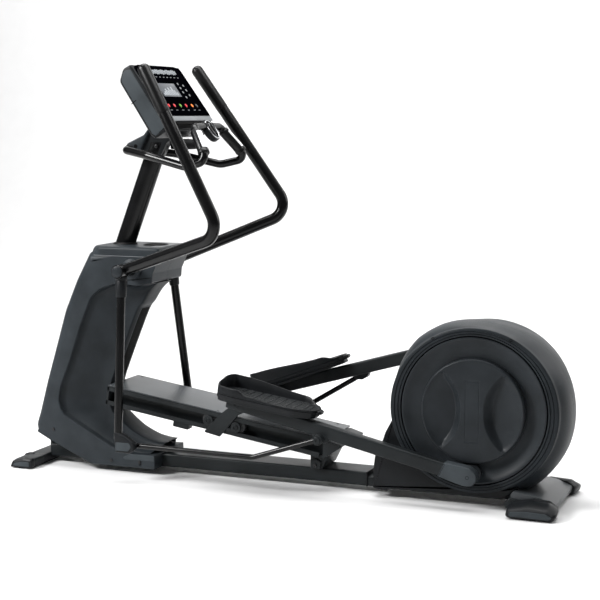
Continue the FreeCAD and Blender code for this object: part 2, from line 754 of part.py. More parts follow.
# ---------------------------------------------------------------- ramp
def ramp_frame():
    """Two lipped channels, open outwards, joined by a front plate with a stub to the column."""
    piece = body("ramp_frame")
    cross = sketch(piece, "YZ_Plane", "0")
    box_outline(cross, "-rail_outer", "-rail_tall", "rail_outer", "0")
    pad(piece, cross, "8")
    for side in SIDES.values():
        section = sketch(piece, "YZ_Plane", "0")
        inner = "%d * rail_inner" % side
        outer = "%d * rail_outer" % side
        lip = "%d * (rail_outer - rail_wall)" % side
        web = "%d * (rail_inner + rail_wall)" % side
        outline(section, [
            (inner, "0"), (outer, "0"), (outer, "-rail_lip"), (lip, "-rail_lip"),
            (lip, "-rail_wall"), (web, "-rail_wall"), (web, "rail_wall - rail_tall"),
            (lip, "rail_wall - rail_tall"), (lip, "rail_lip - rail_tall"),
            (outer, "rail_lip - rail_tall"), (outer, "-rail_tall"), (inner, "-rail_tall"),
        ])
        pad(piece, section, "rail_long")
    middle_pad(piece, "ramp_stub_half", lambda d: outline(d, [
        ("4", "-58"), ("4", "-24"), ("-54.5", "-30.6"), ("-53.5", "-62.9"),
    ]))
    place(piece, "ramp_x", "0", "ramp_up", "-ramp_slope")
    return piece


def ramp_cover():
    """Flat plate along the top of both rails."""
    piece = body("ramp_cover")
    section = sketch(piece, "YZ_Plane", "2")
    box_outline(section, "-cover_half", "0.2", "cover_half", "cover_thick")
    pad(piece, section, "cover_long")
    place(piece, "ramp_x", "0", "ramp_up", "-ramp_slope")
    return piece


def ramp_rear_bracket():
    """Wedge that closes the rails' rear ends and the block that stands it on the beam."""
    piece = body("ramp_rear_bracket")

    def wedge(drawing):
        outline(drawing, [("196", "124"), ("248", "160"), ("278", "178"), ("222", "196"), ("196", "197")])

    def leg(drawing):
        outline(drawing, [("130", "beam_top"), ("176", "beam_top"), ("205", "132"), ("205", "190"),
                          ("140", "190"), ("130", "130")])

    middle_pad(piece, "rail_outer - 4", wedge)
    middle_pad(piece, "rail_inner - 2", leg)
    return piece


# ---------------------------------------------------------------- carriages and pedal arms
def carriage(name, side):
    """Side plate with two roller axles in the rail and the pedal arm's pin."""
    piece = body(name + "_carriage")

    def plate(drawing):
        outline(drawing, [
            ("-roller_ahead - 24", "-98"), ("-roller_ahead - 12", "-64"), ("-80", "-54"),
            ("-19", "2"), ("-12", "15"), ("6", "18"), ("18", "6"), ("14", "-44"), ("0", "-60"),
            ("-8", "-108"), ("-34", "-134"), ("-100", "-139"), ("-roller_ahead + 6", "-112"),
        ])

    side_pad(piece, side, "plate_inner", "plate_outer", plate)
    for x in ("-roller_ahead", "-roller_behind"):
        side_pad(piece, side, "roller_inner - 2", "plate_inner + 1",
                 lambda d, at=x: circle(d, at, roller_drop(at), "roller_bore"))
    side_pad(piece, side, "plate_outer - 1", "roller_outer + 48",
             lambda d: circle(d, "0", "0", "arm_pin + 6"))
    side_pad(piece, side, "roller_outer + 47", "arm_outer - 1", lambda d: circle(d, "0", "0", "arm_pin"))
    place(piece, name + "_arm_x", "0", name + "_arm_up")
    return piece


def roller_drop(x):
    """Height of a roller's centre below the arm's pivot, on the middle line of the rail."""
    slope = math.tan(math.radians(val("ramp_slope")))
    middle = val("rail_tall") / 2 / math.cos(math.radians(val("ramp_slope")))
    return "%.3f" % (-val("arm_above") - middle - slope * val(x))


def roller(name, end, side):
    """Plain roller that runs between the flanges of a rail."""
    piece = body("%s_%s_roller" % (name, end))
    ahead = "-roller_ahead" if end == "front" else "-roller_behind"
    drop = roller_drop(ahead)

    def section(drawing):
        circle(drawing, ahead, drop, "roller_radius")
        circle(drawing, ahead, drop, "roller_bore + fit_gap")

    side_pad(piece, side, "roller_inner", "roller_outer", section)
    place(piece, name + "_arm_x", "0", name + "_arm_up")
    return piece


def pedal_arm(name, side):
    """Box tube from the carriage to the crank, with its rear end cap and the push rod's lug."""
    piece = body(name + "_pedal_arm")
    section = sketch(piece, "YZ_Plane", "-40")
    inner = "%d * arm_inner" % side
    outer = "%d * arm_outer" % side
    step = "%d * arm_wall" % side
    box_outline(section, inner, "-arm_half", outer, "arm_half")
    box_outline(section, inner + " + " + step, "arm_wall - arm_half",
                outer + " - " + step, "arm_half - arm_wall")
    pad(piece, section, "arm_long + 20")
    side_pad(piece, side, "arm_inner", "arm_outer", lambda d: outline(d, [
        ("arm_long - 100", "-arm_half"), ("arm_long - 8", "-cap_radius"),
        ("arm_long + 16", "-cap_radius + 6"),
        ("arm_long + 32", "-12"), ("arm_long + 32", "12"), ("arm_long + 16", "cap_radius - 6"),
        ("arm_long - 8", "cap_radius"), ("arm_long - 100", "arm_half"),
    ]))
    side_pad(piece, side, "arm_outer - 26", "arm_outer", lambda d: outline(d, [
        ("boss_along - 40", "2 - arm_half"), ("boss_along - 18", "-boss_drop - 14"),
        ("boss_along", "-boss_drop - 19"), ("boss_along + 18", "-boss_drop - 14"),
        ("boss_along + 40", "2 - arm_half"),
    ]))
    side_pad(piece, side, "arm_inner - 2", "arm_outer + 2",
             lambda d: circle(d, "0", "0", "arm_pin + fit_gap"), cut=True)
    side_pad(piece, side, "arm_outer - 22", "arm_outer + 2",
             lambda d: circle(d, "boss_along", "-boss_drop", "stud_radius + fit_gap"), cut=True)
    place(piece, name + "_arm_x", "0", name + "_arm_up", name + "_arm_rise")
    return piece


def pedal(name, side):
    """Deep rimmed tray, its rim highest round the toes, standing over the arm."""
    piece = body(name + "_pedal")
    low = side * (val("pedal_centre") - val("pedal_half"))
    high = side * (val("pedal_centre") + val("pedal_half"))
    plan = sketch(piece, "XY_Plane", "8")
    outline(plan, pedal_plan(low, high, 0))
    pad(piece, plan, "82")
    hollow = sketch(piece, "XY_Plane", "38")
    outline(hollow, pedal_plan(low + 7 * side, high - 7 * side, 7))
    pad(piece, hollow, "60", "PartDesign::Pocket", reverse=True)

    def above_inner_wall(drawing):
        outline(drawing, [
            ("pedal_front - 20", "82"), ("pedal_front + 60", "88"), ("pedal_rear - 72", "62"),
            ("pedal_rear - 24", "43"), ("pedal_rear + 20", "43"), ("pedal_rear + 20", "100"),
            ("pedal_front - 20", "100"),
        ])

    def above_outer_wall(drawing):
        outline(drawing, [
            ("pedal_front + 85", "78"), ("pedal_front + 130", "46"), ("pedal_rear + 20", "43"),
            ("pedal_rear + 20", "100"), ("pedal_front + 85", "100"),
        ])

    middle_pad(piece, "300", above_inner_wall, cut=True)
    side_pad(piece, side, "pedal_centre", "pedal_centre + 100", above_outer_wall, cut=True)
    tilt = math.radians(val("pedal_lift"))
    slope = math.tan(tilt)
    tube_top = val("arm_half") / math.cos(tilt) + 0.6

    def arm_way(drawing):
        outline(drawing, [
            ("pedal_front - 20", "0"), ("240", "0"), ("240", "%.3f" % (tube_top - 240 * slope)),
            ("pedal_front - 20", "%.3f" % (tube_top - (val("pedal_front") - 20) * slope)),
        ])

    side_pad(piece, side, "arm_inner - 1", "arm_outer + 1", arm_way, cut=True)
    side_pad(piece, side, "plate_inner - 3", "arm_inner + 1", lambda d: circle(d, "0", "0", "24"), cut=True)
    place(piece, name + "_arm_x", "0", name + "_arm_up", name + "_arm_rise + pedal_lift")
    return piece


def pedal_plan(low, high, shrink):
    """Foot-shaped plan between two sides, in from both ends by a wall."""
    front = val("pedal_front") + shrink
    rear = val("pedal_rear") - shrink
    wide = high - low
    return [(str(x), str(round(y, 3))) for x, y in (
        (front + 34, low), (rear - 60, low), (rear - 14, low + 0.18 * wide), (rear, low + 0.36 * wide),
        (rear, high - 0.36 * wide), (rear - 14, high - 0.18 * wide), (rear - 60, high),
        (front + 34, high), (front + 8, high - 0.15 * wide), (front, high - 0.34 * wide),
        (front, low + 0.34 * wide), (front + 8, low + 0.15 * wide),
    )]


# ---------------------------------------------------------------- rocker arms and push rods
def rocker_placement(name):
    base = V(val("pivot_x"), 0, val("pivot_up"))
    return FreeCAD.Placement(base, FreeCAD.Rotation(Y_AXIS, -val(name + "_swing")))


def handle_points(side):
    """Centre line of the handle tube, from the hub to the top of the grip."""
    return [V(0, side * 205, 0), V(482, side * 360, 160), V(144, side * 298, 764)]


def rocker_arm(name, side):
    """Weldment of hub, handle tube, link tube and the bracket of the lower joint."""
    hub_radius = val("hub_radius")
    inner = val("hub_inner")
    outer = val("hub_outer")
    hub = rod_between(V(0, side * inner, 0), V(0, side * outer, 0), hub_radius)
    handle = tube(handle_points(side), [68], val("handle_radius"), val("handle_wall"))
    head = V(-1, side * val("link_top"), -20)
    foot = V(0, side * val("link_plane"), -val("joint_drop") + 24)
    collar = rod_between(head, head + (foot - head) * 0.115, val("link_radius") + 5)
    link = rod_between(head, foot, val("link_radius"))
    face = side * val("joint_face")
    depth = side * (val("joint_outer") - val("joint_face"))
    x = val("joint_x")
    drop = -val("joint_drop")
    corners = [V(x - 50, face, drop + 56), V(x - 4, face, drop + 40), V(x + 21, face, drop + 20),
               V(x + 28, face, drop), V(x + 20, face, drop - 20), V(x, face, drop - 26),
               V(x - 48, face, drop - 20)]
    bracket = Part.Face(Part.makePolygon(corners + corners[:1])).extrude(V(0, depth, 0))
    solid = hub.fuse([handle, collar, link, bracket])
    bore = rod_between(V(0, side * (inner - 1), 0), V(0, side * (outer - 1.5), 0),
                       val("axle_radius") + val("fit_gap"))
    return feature(name + "_rocker_arm", solid.cut(bore).removeSplitter(), rocker_placement(name))


def handle_grip(name, side):
    """Foam sleeve with a closed top over the upper stretch of a handle tube."""
    corner, top = handle_points(side)[1:]
    along = (top - corner).normalize()
    start = top - along * 190
    sleeve = rod_between(start, top + along * 4, val("grip_radius"))
    bore = rod_between(start, top, val("handle_radius"))
    return feature(name + "_handle_grip", sleeve.cut(bore), rocker_placement(name))


def rod_stud(name, side):
    """Turning stud in the pedal arm's lug that the push rod's rear eye swivels on."""
    piece = body(name + "_rod_stud")
    plane = "rod_plane - eye_half - 2"
    side_pad(piece, side, "arm_outer - 20", "rod_plane + eye_half + 4",
             lambda d: circle(d, "0", "0", "stud_radius"))
    side_pad(piece, side, "arm_outer + 0.5", plane, lambda d: circle(d, "0", "0", "stud_radius + 5"))
    place(piece, name + "_boss_x", "0", name + "_boss_up")
    return piece


def push_rod(name, side):
    """Bent rod with an eye at each end, drawn along the line between its two joints."""
    long = val("rod_long")
    plane = side * val("rod_plane")
    half = val("eye_half")
    bend = V(-266, plane, -val("rod_sag"))
    rear = V(-val("eye_radius") + 3, plane, -2)
    front = V(-long + val("eye_radius") - 3, plane, 0)
    rod = tube([front, bend, rear], [60], val("rod_radius"))
    eyes = [rod_between(V(x, plane - half, 0), V(x, plane + half, 0), val("eye_radius")) for x in (0, -long)]
    bore = val("stud_radius") + val("fit_gap")
    bores = [rod_between(V(x, plane - half - 1, 0), V(x, plane + half + 1, 0), bore)
             for x in (0, -long)]
    solid = rod.fuse(eyes).cut(bores[0]).cut(bores[1])
    base = V(val(name + "_boss_x"), 0, val(name + "_boss_up"))
    turn = FreeCAD.Rotation(V(0, -1, 0), val(name + "_rod_rise"))
    return feature(name + "_push_rod", solid, FreeCAD.Placement(base, turn))


# ---------------------------------------------------------------- cranks, drive and housing
def housing_shell(name, side):
    """Half of the drum, drawn about the crank axis, with the skirt that reaches down to the beam."""
    piece = body(name + "_housing_shell")
    section = sketch(piece, "XY_Plane", "0")
    middle = "%d * 0.3" % side
    quarter = "%d * housing_half / 2" % side
    half = "%d * housing_half" % side
    inner = "%d * (housing_half - housing_wall)" % side
    outline(section, [
        ("housing_bulge", middle), ("housing_bulge - 3", quarter), ("housing_radius", half),
        ("disc_radius + 2", half), ("disc_radius + 2", inner), ("housing_radius - housing_wall", inner),
        ("housing_bulge - 3 - housing_wall", quarter), ("housing_bulge - housing_wall", middle),
    ])
    drum = piece.newObject("PartDesign::Revolution", piece.Name + "_drum")
    drum.Profile = section
    axis = [line for line in piece.Origin.OriginFeatures if line.Role == "Y_Axis"][0]
    drum.ReferenceAxis = (axis, [""])
    drum.Angle = 360
    section.Visibility = False
    piece.Tip = drum

    def skirt(drawing):
        outline(drawing, [
            ("-268", "-120"), ("-346", "-138"), ("-388", "-172"), ("-409", "-262"), ("-409", "-319"),
            ("60", "-319"), ("190", "-255"), ("120", "-272"), ("-120", "-272"), ("-240", "-180"),
        ])

    def front_wall(drawing):
        outline(drawing, [
            ("-304", "-61"), ("-318", "-68"), ("-348", "-144"), ("-388", "-172"), ("-409", "-262"),
            ("-409", "-319"), ("-404", "-319"), ("-404", "-262"), ("-384", "-176"), ("-344", "-149"),
            ("-314", "-75"), ("-301", "-71"),
        ])

    def drive_space(drawing):
        outline(drawing, [
            ("-396", "-285"), ("-376", "-182"), ("-336", "-155"), ("-306", "-82"), ("-290", "-10"),
            ("-150", "-60"), ("-60", "-240"), ("150", "-240"), ("170", "-285"),
        ])

    side_pad(piece, side, "skirt_half - housing_wall", "skirt_half", skirt)
    side_pad(piece, side, "0.3", "skirt_half", front_wall)
    side_pad(piece, side, "0", "rear_beam_half + 2", drive_space, cut=True)
    side_pad(piece, side, "0", "rear_beam_half + 2",
             lambda d: box_outline(d, "-420", "-330", "260", "rear_beam_top - crank_up + 10"), cut=True)
    place(piece, "crank_x", "0", "crank_up")
    return piece


def crank_bearings():
    """Flanged bushes pressed into the drive plates."""
    bushes = []
    for name, side in SIDES.items():
        bush = body("bush_" + name)

        def ring(drawing):
            circle(drawing, "crank_x", "crank_up", "bearing_radius")
            circle(drawing, "crank_x", "crank_up", "crank_axle_radius + fit_gap")

        side_pad(bush, side, "frame_plate_inner", "frame_plate_outer", ring)
        bushes.append(bush)
    return group("crank_bearings", bushes)


def crank_axle():
    piece = body("crank_axle")
    middle_pad(piece, "disc_outer - 1", lambda d: circle(d, "crank_x", "crank_up", "crank_axle_radius"))
    return piece


def crank_pulley():
    """Large belt pulley with three lightening holes, fixed to the crank axle."""
    piece = body("crank_pulley")

    def web(drawing):
        circle(drawing, "crank_x", "crank_up", "pulley_radius")
        circle(drawing, "crank_x", "crank_up", "crank_axle_radius")
        for spoke in range(3):
            turn = math.radians(90 + 120 * spoke)
            circle(drawing, "crank_x + %.3f" % (72 * math.cos(turn)),
                   "crank_up + %.3f" % (72 * math.sin(turn)), "28")

    middle_pad(piece, "belt_half", web)
    return piece


def crank_disc(name, side):
    """Disc that turns in the housing's face and carries the crank pin."""
    piece = body(name + "_crank_disc")
    throw = "crank_up %s crank_throw" % ("-" if side == LEFT else "+")

    def face(drawing):
        circle(drawing, "crank_x", "crank_up", "disc_radius")
        circle(drawing, "crank_x", "crank_up", "crank_axle_radius")

    side_pad(piece, side, "disc_inner", "disc_outer", face)
    side_pad(piece, side, "disc_outer - 2", "arm_inner - 3", lambda d: circle(d, "crank_x", throw, "12"))
    return piece


def hub_covers():
    """Raised covers on the discs, each with two crescent scoops beside a plain middle bar."""
    covers = []
    for name, side in SIDES.items():
        cover = body("hub_cover_" + name)
        side_pad(cover, side, "disc_outer", "hub_cover_outer",
                 lambda d: circle(d, "crank_x", "crank_up", "hub_cover_radius"))
        for away in (-1, 1):
            side_pad(cover, side, "hub_cover_outer - 9", "hub_cover_outer + 1", lambda d, w=away: outline(d, [
                ("crank_x + %d" % (w * 45), "crank_up - 60"), ("crank_x + %d" % (w * 45), "crank_up + 60"),
                ("crank_x + %d" % (w * 85), "crank_up + 118"), ("crank_x + %d" % (w * 135), "crank_up + 60"),
                ("crank_x + %d" % (w * 146), "crank_up"), ("crank_x + %d" % (w * 135), "crank_up - 60"),
                ("crank_x + %d" % (w * 85), "crank_up - 118"),
            ]), cut=True)
        covers.append(cover)
    return group("hub_covers", covers)


def flywheel():
    """Flywheel and small belt pulley on one shaft."""
    piece = body("flywheel")
    middle_pad(piece, "frame_plate_outer - 1",
               lambda d: circle(d, "flywheel_x", "flywheel_up", "flywheel_shaft"))
    middle_pad(piece, "belt_half", lambda d: circle(d, "flywheel_x", "flywheel_up", "flywheel_pulley"))
    side_pad(piece, RIGHT, "16", "40", lambda d: circle(d, "flywheel_x", "flywheel_up", "flywheel_radius"))
    return piece


def belt_loop(thick):
    """Outline of a band drawn tight round both pulleys, a running gap off them."""
    big = V(val("crank_x"), 0, val("crank_up"))
    small = V(val("flywheel_x"), 0, val("flywheel_up"))
    gap = 0.4 + thick
    big_radius = val("pulley_radius") + gap
    small_radius = val("flywheel_pulley") + gap
    line = small - big
    reach = line.Length
    heading = math.atan2(line.z, line.x)
    open_angle = math.acos((big_radius - small_radius) / reach)

    def on(centre, radius, angle):
        return centre + V(radius * math.cos(angle), 0, radius * math.sin(angle))

    upper = heading - open_angle
    lower = heading + open_angle
    edges = [
        Part.Arc(on(big, big_radius, lower), on(big, big_radius, heading + math.pi),
                 on(big, big_radius, upper)).toShape(),
        Part.LineSegment(on(big, big_radius, upper), on(small, small_radius, upper)).toShape(),
        Part.Arc(on(small, small_radius, upper), on(small, small_radius, heading),
                 on(small, small_radius, lower)).toShape(),
        Part.LineSegment(on(small, small_radius, lower), on(big, big_radius, lower)).toShape(),
    ]
    return Part.Face(Part.Wire(edges))


def drive_belt():
    half = val("belt_half") - 1
    band = belt_loop(val("belt_thick")).cut(belt_loop(0))
    band.translate(V(0, -half, 0))
    return feature("drive_belt", band.extrude(V(0, 2 * half, 0)))


def frame_bolts():
    """Socket-head bolts that stand on the outside of the frame and covers."""
    places = [("-565", "beam_low + 26", "shroud_half"), ("151", "beam_top + 14", "rail_inner - 2"),
              ("-690", "beam_low + 24", "shroud_half"), ("-950", "150", "shroud_half")]
    bolts = []
    for x, up, out in places:
        for side in SIDES.values():
            bolt = doc.addObject("Part::Cylinder", "bolt")
            bolt.setExpression("Radius", expr("6"))
            bolt.setExpression("Height", expr("4"))
            bolt.Placement = FreeCAD.Placement(V(0, 0, 0), FreeCAD.Rotation(V(1, 0, 0), -90 * side))
            bolt.setExpression("Placement.Base.x", expr(x))
            bolt.setExpression("Placement.Base.y", expr("%d * (%s + 0.1)" % (side, out)))
            bolt.setExpression("Placement.Base.z", expr(up))
            bolts.append(bolt)
    return group("frame_bolts", bolts)


# ---------------------------------------------------------------- assembly
def build():
    base_frame()
    front_stabilizer()
    front_end_caps()
    rear_stabilizer()
    rear_end_caps()
    levelling_feet()
    transport_wheels()
    tower_column()
    rocker_axle()
    shroud_deck()
    mast()
    console_bracket()
    static_handlebar()
    fixed_grips()
    key_pod()
    console_shell()
    console_panel()
    accessory_tray()
    ramp_frame()
    ramp_cover()
    ramp_rear_bracket()
    crank_bearings()
    crank_axle()
    crank_pulley()
    hub_covers()
    flywheel()
    drive_belt()
    frame_bolts()
    for name, across in BUTTONS.items():
        console_button(name, across)
    for name, side in SIDES.items():
        shroud(name, side)
        housing_shell(name, side)
        crank_disc(name, side)
        quick_key(name, side)
        carriage(name, side)
        roller(name, "front", side)
        roller(name, "rear", side)
        pedal_arm(name, side)
        pedal(name, side)
        rocker_arm(name, side)
        handle_grip(name, side)
        rod_stud(name, side)
        push_rod(name, side)
    doc.recompute()


def check():
    """Stop on any object that failed or any piece that isn't a valid solid."""
    for thing in doc.Objects:
        if "Invalid" in thing.State or "Error" in thing.State:
            raise RuntimeError("%s is %s" % (thing.Name, thing.State))
    for label, piece in nodes.items():
        if piece.Shape.isNull() or not piece.Shape.isValid() or not piece.Shape.Solids:
            raise RuntimeError(label + " has no valid solid")


def write():
    os.makedirs("parts", exist_ok=True)
    for label, piece in nodes.items():
        piece.Shape.exportStep("parts/%s.step" % label)
        box = piece.Shape.BoundBox
        print("%-22s solids %d volume %9.1f cm3  x %7.1f %7.1f  y %7.1f %7.1f  z %7.1f %7.1f" % (
            label, len(piece.Shape.Solids), piece.Shape.Volume / 1000, box.XMin, box.XMax,
            box.YMin, box.YMax, box.ZMin, box.ZMax))


build()
check()
write()
print(len(nodes), "nodes")
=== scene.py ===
from math import acos, atan2, copysign, cos, degrees, pi, radians, sin, sqrt, tan

import bmesh
import bpy
import numpy as np
from mathutils import Matrix, Vector


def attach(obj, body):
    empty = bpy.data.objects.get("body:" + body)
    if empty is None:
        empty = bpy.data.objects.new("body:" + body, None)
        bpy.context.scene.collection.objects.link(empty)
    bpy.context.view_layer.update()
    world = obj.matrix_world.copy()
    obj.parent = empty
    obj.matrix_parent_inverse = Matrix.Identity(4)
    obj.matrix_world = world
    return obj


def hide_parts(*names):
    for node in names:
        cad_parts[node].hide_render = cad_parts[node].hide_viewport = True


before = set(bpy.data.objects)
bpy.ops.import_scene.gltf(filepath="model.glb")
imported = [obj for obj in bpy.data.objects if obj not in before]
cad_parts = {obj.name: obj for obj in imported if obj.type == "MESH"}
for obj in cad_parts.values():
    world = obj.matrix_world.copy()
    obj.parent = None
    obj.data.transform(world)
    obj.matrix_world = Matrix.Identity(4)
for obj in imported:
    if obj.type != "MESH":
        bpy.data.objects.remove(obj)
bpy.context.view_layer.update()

# Sizes are in millimetres and angles in degrees: X to the rear, Y to the machine's right, Z up.
MM = 0.001
SIDES = {"left": -1, "right": 1}
OPEN = (False, False)  # no end caps
PIVOT = (-586.0, 808.0)  # rocker axle, as X and Z
CRANK = (772.0, 351.5)  # crank axle
THROW = 226  # crank pin from the crank axle
COVER_RADIUS = 189.0
MAST_FOOT = (-693, 866)
MAST_SLOPE = tan(radians(21.1))
RAMP_START = (-703, 341)
RAMP_DIP = 8.7
ROLLERS = {"front": -148, "rear": -34}  # X from the arm's pivot
PEDAL_LIFT = 4.6  # pedal's pitch above its arm's
ROD_LENGTH = 764.16
ROD_PLANE = 236
HANDLE_BEND, HANDLE_TOP = (482, 360, 160), (144, 298, 764)  # from the rocker axle
BUTTON_ROW = 49  # height on the console's panel
BUTTONS = (("stop", -117, "red_key"), ("start", -69, "red_key"), ("mode", -17, "green_key"),
           ("slower", 32, "red_key"), ("faster", 86, "orange_key"), ("fan", 127, "grey_key"))
# At rest: X, Z and pitch of each pedal arm and push rod, and each rocker's swing.
ARM = {"left": (-117.81, 325.45, -12.665), "right": (-103.86, 323.32, 16.183)}
BOSS = {"left": (218.73, 222.15, 6.172), "right": (240.75, 395.22, 18.983)}
SWING = {"left": 0.0, "right": 5.096}


# ------------------------------------------------------------------ materials
def put(node, values):
    """Set a node's inputs by name."""
    for name, value in values.items():
        node.inputs[name].default_value = value


def surface(name, colour, rough, grain=900.0, bump=0.08, metal=0.0, spread=0.25, mottle=9.0, shine=0.3):
    """A material with fine grain in its bump and slow variation in its colour and roughness."""
    mat = bpy.data.materials.new(name)
    mat.use_nodes = True
    nodes = mat.node_tree.nodes
    shader = nodes["Principled BSDF"]
    place, slow, tint, worn, fine, relief = (nodes.new("ShaderNode" + kind) for kind in (
        "TexCoord", "TexNoise", "ValToRGB", "MapRange", "TexNoise", "Bump"))
    put(shader, {"Base Color": (*colour, 1), "Roughness": rough, "Metallic": metal,
                 "Specular IOR Level": shine})
    put(slow, {"Scale": mottle, "Detail": 6})
    put(worn, {"To Min": max(0.03, rough - 0.09), "To Max": min(1, rough + 0.09)})
    put(fine, {"Scale": grain, "Detail": 3})
    put(relief, {"Strength": bump, "Distance": 0.0006})
    for element, position, share in zip(tint.color_ramp.elements, (0.3, 0.7), (1 - spread, 1 + spread)):
        element.position = position
        element.color = (*[min(1, c * share) for c in colour], 1)
    for source, output, target, entry in (
            (place, "Object", slow, "Vector"), (slow, "Fac", tint, "Fac"),
            (tint, "Color", shader, "Base Color"), (slow, "Fac", worn, "Value"),
            (worn, "Result", shader, "Roughness"), (place, "Object", fine, "Vector"),
            (fine, "Fac", relief, "Height"), (relief, "Normal", shader, "Normal")):
        mat.node_tree.links.new(source.outputs[output], target.inputs[entry])
    return mat


def glow(mat, colour, strength):
    put(mat.node_tree.nodes["Principled BSDF"],
        {"Emission Color": (*colour, 1), "Emission Strength": strength})
    return mat


M = {
    "frame": surface("powder_coat", (0.0125, 0.0148, 0.016), 0.38, 700, 0.22, shine=0.16),
    "tube": surface("tube_coat", (0.0022, 0.0023, 0.0026), 0.24, 800, 0.08, shine=0.25),
    "shroud": surface("shroud_plastic", (0.023, 0.0275, 0.0315), 0.42, 1100, 0.30, shine=0.13),
    "scoop": surface("scoop_plastic", (0.0165, 0.0198, 0.0228), 0.44, 1100, 0.25, shine=0.12),
    "trim": surface("trim_plastic", (0.0078, 0.0088, 0.010), 0.38, 1000, 0.3, shine=0.15),
    "disc": surface("disc_plastic", (0.0185, 0.0218, 0.025), 0.38, 1000, 0.15, shine=0.14),
    "cap": surface("cap_plastic", (0.038, 0.045, 0.050), 0.42, 1000, 0.25, shine=0.15),
    "deck_metal": surface("ramp_sheet", (0.046, 0.051, 0.055), 0.34, 600, 0.15, shine=0.35),
    "foam": surface("grip_foam", (0.0028, 0.0029, 0.0032), 0.34, 420, 0.4, shine=0.25),
    "rubber": surface("rubber", (0.006, 0.006, 0.0065), 0.5, 500, 0.5, shine=0.15),
    "tread": surface("tread_rubber", (0.012, 0.0138, 0.015), 0.42, 380, 0.7, shine=0.2),
    "steel": surface("steel", (0.30, 0.31, 0.33), 0.3, 300, 0.2, metal=1.0),
    "chrome": surface("chrome", (0.42, 0.43, 0.44), 0.22, 200, 0.03, metal=1.0, spread=0.05),
    "iron": surface("iron", (0.12, 0.12, 0.125), 0.45, 260, 0.5, metal=0.8),
    "nylon": surface("nylon", (0.035, 0.036, 0.038), 0.5, 600, 0.3),
    "bolt": surface("bolt_black", (0.012, 0.012, 0.013), 0.35, 400, 0.2),
    # Near-black for dark joints, slits and recesses; it is also painted shade on the tower's rear face and on
    # the ramp channels' closed front ends.
    "gap_and_painted_shade": surface("dark_gap_and_painted_shade", (0.001, 0.001, 0.001), 0.8, 300, 0.1, shine=0.1),
    # Light-grey plastic of the console's ledge; as the thin ring at the tower lid's seam it is a painted
    # highlight.
    "ledge": surface("ledge_plastic_and_seam_highlight", (0.17, 0.18, 0.19), 0.34, 900, 0.2),
    # Painted reflection: a flat bright white stands for the shine of the chrome pulse plates.
    "plate": surface("pulse_plate_painted_reflection", (0.80, 0.81, 0.82), 0.3, 500, 0.05, spread=0.04),
    "glass": surface("console_glass", (0.0008, 0.0008, 0.0014), 0.2, 90, 0.01, shine=0.0),
    "lcd": glow(surface("lcd", (0.05, 0.055, 0.065), 0.3, 900, 0.05), (0.30, 0.32, 0.35), 0.08),
    "digits": glow(surface("digits", (0.28, 0.30, 0.32), 0.4, 900, 0.05), (0.6, 0.63, 0.68), 0.14),
    "print": surface("print", (0.20, 0.21, 0.22), 0.5, 900, 0.05),
    "red_key": glow(surface("red_key", (0.55, 0.02, 0.03), 0.3, 700, 0.1), (0.9, 0.03, 0.03), 0.25),
    "green_key": glow(surface("green_key", (0.10, 0.30, 0.01), 0.3, 700, 0.1), (0.3, 0.8, 0.02), 0.10),
    "orange_key": glow(surface("orange_key", (0.80, 0.18, 0.02), 0.3, 700, 0.1), (1.0, 0.25, 0.03), 0.5),
    "grey_key": surface("grey_key", (0.07, 0.075, 0.08), 0.35, 700, 0.1),
}


# ------------------------------------------------------------------ mesh building
def at(x=0.0, y=0.0, z=0.0, pitch=0.0):
    """Local millimetres to the frame; a positive pitch raises the rear end."""
    return Matrix.Translation((x, y, z)) @ Matrix.Rotation(-radians(pitch), 4, "Y")


def turns(count):
    """Even angles all the way round."""
    return [2 * pi * k / count for k in range(count)]


def quarter(count):
    """Even angles over a quarter turn, both ends included."""
    return [k / count * pi / 2 for k in range(count + 1)]


def arc_loop(corners, step):
    """A closed outline from (u, v, radius) corners, with arcs at the corners and short straight runs."""
    pts = [Vector(c[:2]) for c in corners]
    total = len(pts)
    loop = []
    for i, corner in enumerate(corners):
        here, before, after = pts[i], pts[i - 1], pts[(i + 1) % total]
        back, ahead = (before - here), (after - here)
        angle = back.angle(ahead)
        radius = corner[2]
        if radius <= 0 or angle > pi - 0.02:
            loop.append(here)
            continue
        reach = min(radius / tan(angle / 2), 0.48 * back.length, 0.48 * ahead.length)
        radius = reach * tan(angle / 2)
        bisector = (back.normalized() + ahead.normalized()).normalized()
        centre = here + bisector * (radius / sin(angle / 2))
        first = here + back.normalized() * reach - centre
        turn = pi - angle
        sign = 1 if back.cross(ahead) < 0 else -1
        count = max(3, int(radius * turn / step) + 3)
        for k in range(count + 1):
            a = sign * turn * k / count
            loop.append(centre + Vector((first.x * cos(a) - first.y * sin(a),
                                         first.x * sin(a) + first.y * cos(a))))
    dense = []
    for i, p in enumerate(loop):
        q = loop[(i + 1) % len(loop)]
        if (q - p).length < 1e-4:
            continue
        runs = max(1, int((q - p).length / (4 * step)))
        dense += [p.lerp(q, k / runs) for k in range(runs)]
    return dense


def box(u0, v0, u1, v1, radius):
    """Corners of an upright rectangle."""
    return [(u0, v0, radius), (u1, v0, radius), (u1, v1, radius), (u0, v1, radius)]


def across(points, y):
    """Points of a side view, set at one distance across the machine."""
    return [Vector((p.x, y, p.y)) for p in points]


def spline(points, per=8):
    """Catmull-Rom points through an open list."""
    pts = [Vector(p) for p in points]
    pts = [2 * pts[0] - pts[1]] + pts + [2 * pts[-1] - pts[-2]]
    out = []
    for a, b, c, d in zip(pts, pts[1:], pts[2:], pts[3:]):
        for k in range(per):
            t = k / per
            out.append(0.5 * (2 * b + (c - a) * t + (2 * a - 5 * b + 4 * c - d) * t * t
                              + (3 * b - a - 3 * c + d) * t ** 3))
    out.append(pts[-2])
    return out


